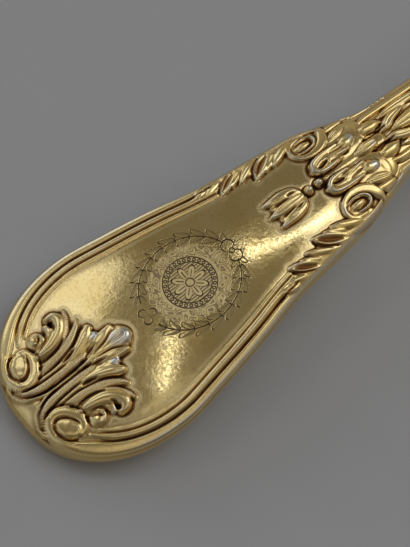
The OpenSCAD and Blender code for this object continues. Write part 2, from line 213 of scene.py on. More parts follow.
@dataclass(frozen=True)
class HandleForm:
    """Smooth form of the loaded handle, with the sizes of its solids."""

    length: float = 138.0
    end_width: float = 30.0
    end_peak: float = 16.6
    end_power: float = 2.2
    waist_at: float = 66.7
    waist_width: float = 12.1
    stem_width: float = 10.4
    mouth_diameter: float = 9.6
    mouth_length: float = 22.0
    cup_length: float = 5.6
    end_front: float = 1.7
    end_back: float = 2.9
    waist_front: float = 2.9
    stem_front: float = 3.4
    stem_rise: float = 24.0
    stem_back: float = 3.6
    tip_round: float = 2.6
    tip_flat: float = 0.05
    arch_rise: float = 15.5
    arch_power: float = 2.6
    seat: float = 2.26
    section_powers: Point = (3.2, 2.3, 2.0)
    taper: Keys = ((0, 1), (0.14, 0.893), (0.29, 0.742), (0.45, 0.546), (0.61, 0.444), (0.75, 0.338),
                   (0.87, 0.156), (1, 0))

    @property
    def mouth_from(self) -> float:
        """Distance from the tip where the stem starts to turn round."""
        return self.length - self.mouth_length

    def round_share(self, u: Array) -> Array:
        """How round the stem has turned towards the mouth."""
        return smooth((u - self.mouth_from) / (self.mouth_length - self.cup_length))

    def stem_share(self, u: Array) -> Array:
        """How far the broad end has given way to the stem."""
        return smooth((u - self.end_peak) / (self.waist_at - self.end_peak))

    def half_width(self, u: Array) -> Array:
        """Half the width of the handle.

        Args:
            u: distances from the tip.

        Returns:
            The half widths there.
        """
        end = self.end_width / 2 * bow(1.0 - u / self.end_peak, self.end_power)
        share = (u - self.end_peak) / (self.waist_at - self.end_peak)
        taper = mix(self.waist_width, self.end_width, keyed(self.taper, share)) / 2
        along = smooth((u - self.waist_at) / (self.mouth_from - self.waist_at))
        stem = mix(self.waist_width, self.stem_width, along)
        stem = mix(stem, self.mouth_diameter, self.round_share(u)) / 2
        return np.where(u < self.end_peak, end, np.where(u < self.waist_at, taper, stem))

    def half_height(self, u: Array, side: int) -> Array:
        """Height of the front or depth of the back, from the seam.

        Args:
            u: distances from the tip.
            side: 1 for the front, -1 for the back.

        Returns:
            The heights or depths there.
        """
        tip = bow(1.0 - np.clip(u / self.tip_round, 0.0, 1.0), 2.0)
        stem = mix(self.end_back, self.stem_back, self.stem_share(u))
        if side > 0:
            waist = mix(self.end_front, self.waist_front, self.stem_share(u))
            stem = mix(waist, self.stem_front, smooth((u - self.waist_at) / self.stem_rise))
        return tip * mix(stem, self.mouth_diameter / 2, self.round_share(u))

    def section_power(self, u: Array) -> Array:
        """Squareness of the section at each distance from the tip."""
        end, stem, mouth = self.section_powers
        return mix(mix(end, stem, self.stem_share(u)), mouth, self.round_share(u))

    def seam(self, u: Array) -> Array:
        """Height of the seam over the floor."""
        return self.seat + self.arch_rise * (1.0 - (1.0 - u / self.length) ** self.arch_power)

    def inset(self, u: Array, depth: Array) -> Array:
        """Points inside the edge.

        Args:
            u: distances from the tip of points on the edge.
            depth: how far inside the edge.

        Returns:
            Rows of distance from the tip and distance off the axis.
        """
        step = 0.02
        slope = (self.half_width(u + step) - self.half_width(u - step)) / (2 * step)
        long = np.sqrt(1.0 + slope**2)
        return np.column_stack([u + depth * slope / long, self.half_width(u) - depth / long])


FORM = HandleForm()
TIP_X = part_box("handle_front_shell")[0][0] / MM - FORM.tip_flat
HATCH_RUN = 40.0
FLANK_POWER = 0.6


class Section(Enum):
    """Cross-sections of a struck ridge."""

    ROUND = "round"
    LEAF = "leaf"
    HOLLOW = "hollow"
    FLAT = "flat"


def ridge(section: Section, across: Array) -> Array:
    """Height across a ridge.

    Args:
        section: which cross-section.
        across: distance from the ridge's line, as a share of its half width.

    Returns:
        Height as a share of the ridge's height, 0 outside it.
    """
    inside = np.clip(1.0 - across**2, 0.0, 1.0)
    match section:
        case Section.ROUND:
            return inside**FLANK_POWER
        case Section.LEAF:
            vein = 0.3 * np.exp(-((across / 0.22) ** 2))
            return inside**FLANK_POWER * (1.0 - vein)
        case Section.HOLLOW:
            dish = mix(0.35, 1.0, np.clip(across, 0.0, 1.0) ** 1.6)
            return np.clip(1.0 - across**8, 0.0, 1.0) * dish
        case Section.FLAT:
            return np.clip(1.0 - across**4, 0.0, 1.0) ** FLANK_POWER


@dataclass(frozen=True)
class Stroke:
    """A ridge or a groove along a curve, struck on both sides of the handle's axis.

    Attributes:
        points: distance from the tip, distance off the axis, half width.
        height: height of the ridge, or depth of the groove, at its widest.
        section: its cross-section.
        lift: height of the step that the ridge stands on, for one that lies over others.
        hatch: how strongly it is hatched across, 0 to 1.
        bare: how much silver shows on its last third, partly gilding rubbed through and partly a painted
            highlight, 0 to 1.
        tint: how dark a groove is, 0 to 1; the dark is partly tarnishing in the cut and partly painted shade.
    """

    points: tuple[Point, ...]
    height: float = 0.7
    section: Section = Section.ROUND
    lift: float = 0.0
    hatch: float = 0.0
    bare: float = 0.0
    tint: float = 0.8

    def trace(self, step: float = 0.1) -> Array:
        """Sample the stroke's curve.

        Args:
            step: about how far apart.

        Returns:
            Rows of samples.
        """
        points = np.array(self.points)
        chord = np.linalg.norm(np.diff(points[:, :2], axis=0), axis=1).mean()
        return smooth_curve(points, max(4, round(chord / step)))


def spiral(centre: Point, radius: tuple[float, float], turn: tuple[float, float],
           half: float) -> tuple[Point, ...]:
    """Points of a spiral ridge.

    Args:
        centre: distance from the tip, distance off the axis, and how much longer than wide it is.
        radius: radius at the start and at the end.
        turn: angles in degrees at the start and at the end.
        half: half width of the ridge.

    Returns:
        Points for a stroke, thinner at both ends.
    """
    share = np.linspace(0.0, 1.0, 16)
    reach = mix(*radius, share)
    angle = np.radians(mix(*turn, share))
    width = half * np.minimum(1.0, 0.45 + 3.0 * np.minimum(share, 1.0 - share))
    u = centre[0] + reach * np.cos(angle) * centre[2]
    v = centre[1] + reach * np.sin(angle)
    return tuple(zip(u.tolist(), v.tolist(), width.tolist()))


@dataclass
class Relief:
    """Struck height, and what goes with it, on a grid of points over one face of the handle."""

    u: Array
    v: Array
    thinnest: float = 0.02
    chased_depth: float = 0.08
    chased_width: float = 0.12

    def __post_init__(self) -> None:
        """Start with a flat face, far from any ridge, with nothing hatched, no silver and no dark; the silver
        is partly rubbing and partly a painted highlight, the dark partly tarnishing and partly painted shade.
        """
        self.height, self.hatch, self.along, self.bare, self.dark = np.zeros((5, *self.u.shape))
        self.gap = np.full_like(self.u, 9.0)

    def nearest(self, line: Array, reach: float) -> tuple[Array, Array, Array]:
        """Find the nearest point of a line for the grid points close to it.

        Args:
            line: rows of samples, the first two columns on the face.
            reach: how far from the line to look.

        Returns:
            A mask of the grid, and for the points in it the distance and the nearest sample's index.
        """
        off = np.abs(self.v)
        low = line[:, :2].min(0) - reach
        high = line[:, :2].max(0) + reach
        mask = (self.u > low[0]) & (self.u < high[0]) & (off > low[1]) & (off < high[1])
        here = np.column_stack([self.u[mask], off[mask]])
        best = np.full(len(here), 1e9)
        index = np.zeros(len(here), dtype=int)
        for i, sample in enumerate(line[:, :2]):
            away = (here[:, 0] - sample[0]) ** 2 + (here[:, 1] - sample[1]) ** 2
            closer = away < best
            best[closer] = away[closer]
            index[closer] = i
        return mask, np.sqrt(best), index

    def strike(self, stroke: Stroke, scale: float) -> None:
        """Raise one stroke.

        Args:
            stroke: what to raise.
            scale: share of its height to raise it by.
        """
        line = stroke.trace()
        widest = line[:, 2].max()
        mask, away, index = self.nearest(line, widest + 0.8)
        half = np.maximum(line[index, 2], self.thinnest)
        across = away / half
        tall = stroke.height * np.sqrt(half / widest) * ridge(stroke.section, across)
        step = stroke.lift * np.minimum(1.0, 3.0 * np.clip(1.0 - across, 0.0, 1.0))
        raised = np.where(across < 1.0, scale * (tall + step), 0.0)
        won = raised > self.height[mask]
        run = np.concatenate([[0.0], np.cumsum(np.hypot(*np.diff(line[:, :2], axis=0).T))])
        # Silver on the stroke's last third: partly gilding rubbed through, partly a painted highlight.
        silvered = stroke.bare * smooth((run[index] / run[-1] - 0.62) / 0.3)
        for layer, value in ((self.height, raised), (self.along, run[index]), (self.bare, silvered),
                             (self.hatch, np.full(len(away), stroke.hatch))):
            layer[mask] = np.where(won, value, layer[mask])
        self.gap[mask] = np.minimum(self.gap[mask], away - half)

    def carve(self, stroke: Stroke, scale: float) -> None:
        """Sink one stroke.

        Args:
            stroke: what to sink.
            scale: share of its depth to sink it by.
        """
        line = stroke.trace()
        mask, away, index = self.nearest(line, line[:, 2].max())
        across = np.clip(away / np.maximum(line[index, 2], self.thinnest), 0.0, 1.0)
        self.height[mask] -= scale * stroke.height * (1.0 - across**2) ** 1.5
        # The groove's dark is partly tarnishing in the cut and partly painted shade.
        self.dark[mask] = np.maximum(self.dark[mask], stroke.tint * (1.0 - across**2))

    def work(self, strokes: Sequence[Stroke], grooves: Sequence[Stroke], scale: float) -> None:
        """Strike a whole drawing, then sharpen its outlines and cut its grooves, as a chaser does.

        Args:
            strokes: what to raise.
            grooves: what to sink afterwards.
            scale: share of their height.
        """
        for stroke in strokes:
            self.strike(stroke, scale)
        ground = np.clip(self.gap, 0.0, None)
        sunk = self.chased_depth * scale * np.exp(-((ground / self.chased_width) ** 2))
        self.height -= np.where(self.gap > 0.0, sunk, 0.0)
        for groove in grooves:
            self.carve(groove, scale)

    @classmethod
    def averaged(cls, u: Array, v: Array, strokes: Sequence[Stroke], grooves: Sequence[Stroke],
                 scale: float) -> "Relief":
        """Work a drawing at four places in each cell, so that slanting edges come out smooth.

        Args:
            u: distances from the tip.
            v: distances off the axis.
            strokes: what to raise.
            grooves: what to sink afterwards.
            scale: share of their height.

        Returns:
            The mean of the four.
        """
        cell_u, cell_v = np.gradient(u, axis=0), np.gradient(v, axis=1)
        whole = cls(u, v)
        whole.gap[:] = 0.0
        for du, dv in ((-0.25, -0.25), (-0.25, 0.25), (0.25, -0.25), (0.25, 0.25)):
            part = cls(u + du * cell_u, v + dv * cell_v)
            part.work(strokes, grooves, scale)
            for name in ("height", "gap", "hatch", "bare", "dark"):
                setattr(whole, name, getattr(whole, name) + getattr(part, name) / 4)
            whole.along = part.along
        return whole


@dataclass(frozen=True)
class Ornament:
    """The drawing of the handle's relief, in points read along and off the axis.

    Attributes:
        rim_halves: half width of the rim at distances from the tip.
        reed_insets: how far the reed's line lies inside the edge.
        thread_insets: how far the thread's line lies inside the edge.
    """

    volute: tuple[Point, ...] = (
        (4.7, 7.2, 0.3), (5.45, 6.7, 0.5), (5.75, 5.7, 0.6), (5.5, 4.5, 0.66), (4.7, 3.4, 0.7),
        (3.6, 2.8, 0.7), (2.5, 3, 0.68), (1.8, 3.9, 0.64), (1.6, 5.1, 0.64), (1.95, 6.5, 0.68),
        (2.8, 7.8, 0.74),
    )
    rim_halves: Keys = ((4.2, 0.98), (9, 0.87), (15, 0.75), (36, 0.7), (43, 0.42))
    rim_end: tuple[Point, ...] = ((96, 4.5, 0.3), (FORM.mouth_from, 4.4, 0.15))
    reed_insets: Keys = ((3.4, 2.75), (8, 2.42), (12, 2.24), (16, 2.14), (40, 2.2))
    thread_insets: Keys = ((4.3, 3.5), (9, 3.25), (16, 3.08), (40, 3.02))
    reed_half: float = 0.5
    thread_half: float = 0.32
    groove_half: float = 0.18
    groove_from: float = 4.4

    @staticmethod
    def beside_edge(u: Array, inset: Array, half: Array) -> tuple[Point, ...]:
        """Points that keep inside the edge, from distances along it, insets and half widths."""
        return tuple((*place, width) for place, width in zip(FORM.inset(u, inset), half))

    def border(self, volute: Sequence[Point] = ()) -> list[Stroke]:
        """Rim, reed and thread along the edge.

        Args:
            volute: what the rim starts with at the tip.

        Returns:
            The three strokes.
        """
        edge = np.concatenate([np.linspace(4.2, 20, 16), np.linspace(22, 66, 23)])
        rim_half = read(self.rim_halves, edge)
        rim = (*volute, *self.beside_edge(edge, rim_half, rim_half), *self.rim_end)
        run = np.concatenate([np.linspace(3.4, 20, 18), np.linspace(22, 40.2, 9)])
        lines = []
        for insets, half in ((self.reed_insets, self.reed_half), (self.thread_insets, self.thread_half)):
            start = insets[0][0]
            u = run[run >= start]
            swelling = half * np.minimum(1.0, 0.4 + 0.2 * (u - start))
            lines.append(self.beside_edge(u, read(insets, u), swelling))
        reed, thread = lines
        return [Stroke(rim, 0.32, Section.FLAT), Stroke(reed, 0.36), Stroke(thread, 0.2)]

    def border_grooves(self) -> list[Stroke]:
        """Sharp lines cut between rim, reed and thread.

        Returns:
            The two grooves.
        """
        u = np.concatenate([np.linspace(self.groove_from, 20, 16), np.linspace(22, 40, 9)])
        half = self.groove_half * np.minimum(1.0, 0.25 + 0.25 * (u - self.groove_from))
        reed = read(self.reed_insets, u)
        outer = (2 * read(self.rim_halves, u) + reed - self.reed_half) / 2
        inner = (reed + self.reed_half + read(self.thread_insets, u) - self.thread_half) / 2
        return [Stroke(self.beside_edge(u, outer, half), 0.14, tint=0.95),
                Stroke(self.beside_edge(u, inner, half), 0.12)]

    def tip(self) -> list[Stroke]:
        """Volutes, stems and the acanthus at the handle's tip.

        Returns:
            The strokes, in the order of striking.
        """
        flat, leaf = Section.FLAT, Section.LEAF
        return [
            Stroke(((2.2, 3, 0.5), (3.5, 1.9, 0.9), (6, 1.6, 1.3), (9, 1.9, 1.6), (11.5, 2.5, 1.5),
                    (13, 3, 1)), 0.4, flat),
            Stroke(((6.2, 4.6, 1.2), (8.5, 4.8, 1.7), (10.6, 5.8, 1.6), (11.9, 7.2, 0.9)), 0.4, flat),
            Stroke(((11.5, 0.3, 0.9), (14.5, 0.5, 1.6), (16.4, 0.4, 1.4)), 0.42, flat),
            Stroke(((3.7, 5.05, 2.1), (3.8, 5.05, 2.1)), 0.28, flat),
            Stroke((*self.volute[:-1], (2.7, 7.7, 0.5), (3.7, 8.95, 0.2)), 0.44, flat),
            Stroke(((3.3, 4.75, 1.25), (3.75, 5.4, 1.45), (4.2, 6.05, 1.2)), 0.58, flat),
            Stroke(((0.8, 4.2, 0.16), (0.88, 3.2, 0.24), (1.15, 2.2, 0.28), (1.75, 1.3, 0.28),
                    (2.55, 0.72, 0.26), (3.8, 0.25, 0.2), (5, 0.05, 0.16), (7, 0, 0.14), (11, 0, 0.12)),
                    0.46),
            Stroke(((1.3, 2.95, 0.2), (1.75, 2.3, 0.42), (2.6, 1.6, 0.56), (4.2, 1.15, 0.62),
                    (7.3, 1.05, 0.6), (9.7, 0.98, 0.5), (11.6, 0.95, 0.2)), 0.6, flat, hatch=0.6),
            Stroke(((4.6, 2.05, 0.16), (8.2, 1.95, 0.32), (10, 2, 0.58), (11.6, 2.55, 0.86),
                    (12.9, 3.2, 0.98), (13.75, 3.75, 0.72)), 0.66, lift=0.14),
            Stroke(((4.9, 2.8, 0.3), (7.3, 3.1, 0.7), (9.5, 3.42, 0.74), (11.4, 4.12, 0.64), (12.7, 5, 0.48),
                    (13.4, 5.75, 0.2)), 0.6, flat, hatch=0.7),
            Stroke(((7, 3.95, 0.25), (8.8, 4.2, 0.4), (10.3, 4.7, 0.46), (11.6, 5.7, 0.46),
                    (12.45, 6.9, 0.4), (12.8, 7.9, 0.24)), 0.62, flat, hatch=1),
            Stroke(((6.3, 4.8, 0.5), (8.2, 4.95, 0.9), (9.8, 5.5, 1.1), (10.9, 6.45, 1.12),
                    (11.35, 7.4, 1.08), (11.05, 8.1, 0.85), (10.4, 8.25, 0.6)), 0.75, lift=0.34),
            Stroke(((8.9, 5.9, 0.2), (9.5, 6.6, 0.5), (9.7, 7.2, 0.55), (9.6, 7.6, 0.4)), 0.5, flat, bare=1),
            Stroke(((6.3, 5.5, 0.3), (7.9, 5.5, 0.42), (9, 6.05, 0.45), (9.5, 7, 0.36), (9.5, 7.7, 0.15)),
                    0.56),
            Stroke(((7.5, 6.95, 1.2), (7.6, 6.95, 1.2)), 0.3, flat),
            Stroke(spiral((7.55, 6.95, 1.05), (0.98, 0.3), (-100, 330), 0.36), 0.56),
            Stroke(((11, 1.7, 0.3), (12.6, 2.1, 0.6), (13.9, 2.35, 0.64)), 0.66, flat, bare=1),
            Stroke(((11.4, 0.6, 0.25), (13, 1.1, 0.7), (14.6, 1.5, 0.88), (16, 1.85, 0.6)), 0.64, flat,
                    0.12),
            Stroke(((9.5, 0, 0.2), (12, 0, 0.4), (14, 0, 0.8), (15.5, 0, 1.35), (16.6, 0, 1.5)), 0.74, leaf,
                    0.16, bare=0.85),
        ]

    def tip_grooves(self) -> list[Stroke]:
        """Grooves cut between the stems and leaves at the tip.

        Returns:
            The grooves.
        """
        return [
            Stroke(((6.2, 6.5, 0.16), (6.48, 5.4, 0.22), (6.18, 4, 0.24), (5.26, 2.7, 0.24),
                    (3.9, 1.98, 0.24), (2.45, 2.2, 0.22), (1.55, 3, 0.16)), 0.26, tint=0.6),
            Stroke(((3.9, 7.45, 0.16), (2.85, 6.75, 0.22), (2.25, 5.6, 0.25), (2.3, 4.6, 0.26),
                    (2.75, 3.85, 0.26), (3.4, 3.7, 0.26), (4.25, 4.15, 0.24), (4.95, 5.1, 0.2),
                    (5.25, 5.9, 0.12)), 0.24, tint=0.75),
            Stroke(((1, 3.4, 0.16), (1.35, 2.35, 0.22), (2.2, 1.25, 0.26), (4, 0.5, 0.22), (6, 0.34, 0.18),
                    (9, 0.34, 0.18), (11.2, 0.45, 0.16)), 0.42),
            Stroke(((2, 2.4, 0.12), (3.2, 2.02, 0.2), (5, 1.74, 0.2), (7, 1.65, 0.18), (8.6, 1.68, 0.12)),
                    0.36),
            Stroke(((8.5, 2.05, 0.12), (9.4, 2.2, 0.28), (10.6, 2.55, 0.12)), 0.45, tint=1),
            Stroke(((4.8, 2.4, 0.14), (7, 2.35, 0.18), (9, 2.66, 0.2), (11, 3.22, 0.2), (12.2, 3.9, 0.22),
                    (12.7, 4.35, 0.1)), 0.36),
            Stroke(((11.2, 0.72, 0.12), (12, 0.92, 0.26), (13.1, 1.25, 0.1)), 0.42, tint=1),
            Stroke(((12.3, 0.32, 0.08), (14.2, 0.66, 0.14), (15.4, 1.25, 0.15), (16.4, 1.85, 0.1)), 0.3),
            Stroke(((6.2, 3.95, 0.15), (7.8, 3.86, 0.24), (9.2, 4.12, 0.24), (10.3, 4.65, 0.12)), 0.3,
                    tint=0.5),
            Stroke(((10.35, 8, 0.14), (10.3, 7.4, 0.28), (10.3, 6.8, 0.28), (10, 6.35, 0.14)), 0.4,
                    tint=0.75),
            Stroke(((6.9, 6.3, 0.1), (7.7, 6.6, 0.2), (8.2, 7.2, 0.1)), 0.3),
        ]

    def shoulder(self) -> list[Stroke]:
        """Side leaves, volutes, husk, beads, hoods and palmette at the shoulders.

        Returns:
            The strokes, in the order of striking.
        """
        flat, leaf, hollow = Section.FLAT, Section.LEAF, Section.HOLLOW
        return [
            Stroke(((37.6, 9.8, 0.5), (40.5, 9.3, 1), (44, 8.7, 1.35), (48, 8.1, 1.6), (52, 7.9, 1.2),
                    (55, 7.9, 0.7)), 0.42, flat),
            Stroke(((44.6, 1, 1), (46.5, 0.9, 1.5), (48.2, 0.5, 0.8)), 0.45, flat),
            Stroke(((52.9, 2, 1.3), (56, 2.3, 1.9), (59.5, 3.2, 2.9), (61, 3.4, 2.2)), 0.42, flat),
            Stroke(((53, 0, 0.4), (58, 0, 0.6), (60.8, 0, 1), (63, 0, 1.2)), 0.35, flat),
            Stroke(((36.7, 9.2, 0.2), (37.9, 9.55, 0.55), (39.5, 9.75, 0.55)), 0.6, leaf),
            Stroke(((38.3, 8.75, 0.2), (39.5, 9.1, 0.52), (41, 9.4, 0.4)), 0.58),
            Stroke(((40.1, 7.3, 0.25), (40.9, 7.85, 0.78), (42.2, 8.6, 0.88), (43.9, 9.35, 0.4)), 0.72,
                    hollow, 0.16),
            Stroke(((42, 7.45, 0.3), (42.9, 7.95, 0.5), (44.2, 8.7, 0.45)), 0.6),
            Stroke(((43.4, 7.15, 0.35), (44.5, 7.75, 0.62), (46, 8.5, 0.6), (47.3, 9, 0.2)), 0.66),
            Stroke(((45.35, 6, 0.25), (46.1, 6.75, 0.92), (47.5, 7.7, 1.08), (49.6, 8.6, 0.45)), 0.78,
                    hollow, 0.18),
            Stroke(((47.2, 6.25, 0.3), (48.2, 6.75, 0.52), (49.7, 7.6, 0.48)), 0.62),
            Stroke(((48.6, 6.25, 0.35), (49.7, 6.8, 0.72), (51.3, 7.55, 0.8), (53.2, 8.1, 0.3)), 0.7,
                    lift=0.06),
            Stroke(((47.8, 8.35, 0.25), (50.5, 8.5, 0.5), (53, 8.5, 0.6), (55.5, 8.15, 0.55),
                    (57.2, 7.5, 0.35)), 0.5, flat, hatch=0.8),
            Stroke(((53.2, 5.8, 1.6), (55, 5.7, 1.7)), 0.3, flat),
            Stroke(((53, 6, 0.5), (53.9, 6, 0.72), (54.7, 5.95, 0.5)), 0.66),
            Stroke(((58.1, 7.5, 0.4), (57.55, 6.3, 0.82), (56.65, 5.05, 0.88), (55.3, 4.3, 0.78),
                    (53.6, 4.15, 0.6), (52.2, 4.75, 0.48), (51.62, 5.8, 0.42), (51.85, 6.8, 0.36),
                    (52.8, 7.45, 0.32), (54.3, 7.6, 0.24)), 0.42, flat, 0.2),
            Stroke(((52.3, 5.2, 0.12), (53.6, 4.98, 0.22), (55, 5.15, 0.28), (55.85, 5.85, 0.3),
                    (55.75, 6.6, 0.28), (54.8, 7, 0.22), (53.4, 6.95, 0.12)), 0.4, lift=0.4),
            Stroke(((43.3, 2.05, 0.3), (44.6, 1.8, 0.72), (46.2, 1.62, 0.92), (47.6, 1.2, 0.84),
                    (48.4, 0.65, 0.4)), 0.66, flat, 0.06),
            Stroke(((42.8, 0, 0.25), (44.2, 0, 0.8), (45.8, 0, 0.96), (47.2, 0, 0.8), (48.4, 0, 0.4)), 0.74,
                    leaf, 0.12),
            Stroke(((49.6, 0, 0.74), (49.7, 0, 0.74)), 0.98),
            Stroke(((51.45, 0, 0.7), (51.55, 0, 0.7)), 0.98),
            Stroke(((52, 1.75, 0.55), (53, 1.8, 1.2), (54.6, 2, 1.45), (56.6, 2.1, 1.4), (58.2, 2.4, 0.95)),
                    0.66, flat, 0.1),
            Stroke(((56, 0.9, 0.26), (54.4, 0.82, 0.44), (52.95, 0.98, 0.5), (52.15, 1.75, 0.5),
                    (52.5, 2.6, 0.5), (53.8, 3, 0.46), (55.6, 3.12, 0.36), (57.4, 3.1, 0.2)), 0.42,
                    lift=0.52),
            Stroke(((55, 1.95, 0.16), (56.4, 1.7, 0.34), (57.6, 1.5, 0.34), (58.6, 1.5, 0.2)), 0.34,
                    lift=0.6),
            Stroke(((60.7, 5.3, 0.4), (61, 4.2, 0.8), (60.95, 2.9, 0.8), (60.9, 1.6, 0.5)), 0.5, flat),
            Stroke(((57.1, 4.2, 0.4), (58.8, 4.65, 0.9), (60.4, 5.05, 0.66), (61.3, 4.95, 0.25)), 0.72,
                    leaf),
            Stroke(((57.8, 5.8, 0.35), (59.2, 6.2, 0.78), (61, 6.1, 0.5)), 0.62),
            Stroke(((57.5, 2.4, 0.5), (58.7, 2.6, 1.15), (59.7, 2.8, 0.9)), 0.82, lift=0.14, bare=1),
            Stroke(((59, 0, 0.5), (60.5, 0, 1.05), (61.9, 0, 0.8)), 0.8, leaf, 0.1, bare=0.5),
        ]

    def shoulder_grooves(self) -> list[Stroke]:
        """Grooves cut in the leaves, the husk and the hoods at the shoulders.

        Returns:
            The grooves.
        """
        return [
            Stroke(((40.5, 7.7, 0.16), (41.3, 8.15, 0.5), (42.3, 8.65, 0.48), (43.4, 9.1, 0.16)), 0.12,
                    tint=0.55),
            Stroke(((45.7, 6.45, 0.18), (46.4, 7, 0.62), (47.5, 7.7, 0.64), (48.9, 8.3, 0.2)), 0.14,
                    tint=0.55),
            Stroke(((39.85, 7.5, 0.1), (40.3, 8.15, 0.18), (41.3, 8.9, 0.18), (42.8, 9.45, 0.12)), 0.3,
                    tint=0.9),
            Stroke(((45.05, 6.15, 0.1), (45.35, 7, 0.2), (46.3, 8, 0.22), (47.9, 8.8, 0.14)), 0.34,
                    tint=0.9),
            Stroke(((46.5, 1.14, 0.1), (47.1, 1.14, 0.2), (47.8, 1.02, 0.1)), 0.35, tint=0.9),
            Stroke(((43.9, 1, 0.14), (45.3, 0.93, 0.12), (46.6, 0.86, 0.1)), 0.16, tint=0.5),
            Stroke(spiral((49.65, 0, 1), (0.86, 0.86), (0, 180), 0.17), 0.2, tint=0.8),
            Stroke(spiral((51.5, 0, 1), (0.82, 0.82), (0, 180), 0.17), 0.2, tint=0.8),
            Stroke(((53.1, 1.6, 0.26), (53.8, 1.7, 0.4), (54.6, 1.82, 0.22)), 0.42, tint=0.6),
            Stroke(((54.9, 1.3, 0.12), (56.4, 1.15, 0.16), (58.1, 1.15, 0.12)), 0.24, tint=0.6),
            Stroke(((55.6, 2.5, 0.14), (57, 2.3, 0.18), (58, 2.3, 0.12)), 0.24, tint=0.5),
            Stroke(((52.4, 5.9, 0.1), (52.95, 5.42, 0.15), (54.2, 5.34, 0.16), (55.12, 5.62, 0.16),
                    (55.3, 6.2, 0.15), (54.6, 6.62, 0.14), (53.4, 6.68, 0.14), (52.55, 6.4, 0.1)), 0.14,
                    tint=0.5),
            Stroke(((52.2, 6.7, 0.1), (52, 5.8, 0.16), (52.5, 5, 0.16), (53.6, 4.72, 0.14), (55, 4.88, 0.14),
                    (56, 5.5, 0.12), (56.25, 6.4, 0.1)), 0.14, tint=0.4),
            Stroke(((61.3, 1.05, 0.16), (63.2, 1, 0.24), (65.2, 1.1, 0.16)), 0.35),
        ]

    def stem(self) -> list[Stroke]:
        """Cabochons, straps and the long leaf on the stem.

        Returns:
            The strokes, in the order of striking.
        """
        leaf = Section.LEAF
        return [
            Stroke(((62.2, 2.42, 0.9), (63.2, 2.4, 1.1), (64.2, 2.3, 0.9), (65.2, 2.05, 0.3)), 0.86),
            Stroke(((61.9, 3.7, 0.25), (63, 3.95, 0.42), (65, 4.2, 0.6), (72, 4.1, 0.55), (84, 3.9, 0.45),
                    (98, 3.8, 0.2)), 0.5),
            Stroke(((64.4, 0.75, 0.3), (65.6, 1.1, 0.8), (67.2, 1.7, 0.75), (70, 2.1, 0.3)), 0.62, leaf,
                    0.05),
            Stroke(((66, 0, 0.3), (68, 0, 1), (74, 0, 1.4), (86, 0, 0.9), (97, 0, 0.2)), 0.8, leaf),
            Stroke(((65.6, 2.7, 0.2), (68.5, 2.9, 0.7), (75, 2.6, 0.65), (84, 2, 0.2)), 0.6, leaf),
        ]

    def front(self) -> tuple[list[Stroke], list[Stroke]]:
        """All that is struck on the front, and all that is cut into it."""
        struck = self.border(self.volute) + self.tip() + self.shoulder() + self.stem()
        return struck, self.border_grooves() + self.tip_grooves() + self.shoulder_grooves()


@dataclass(frozen=True)
class Face:
    """One face of the handle.

    Attributes:
        side: 1 for the front, -1 for the back.
        scale: share of the drawing's height that is struck on it.
        step: length of its finest cells.
        stem_ratio: how much longer the cells on the stem are.
        columns: cells across.
        rounding: rows round the tip.
    """

    name: str
    node: str
    side: int
    scale: float
    step: float
    stem_ratio: float
    columns: int
    rounding: int


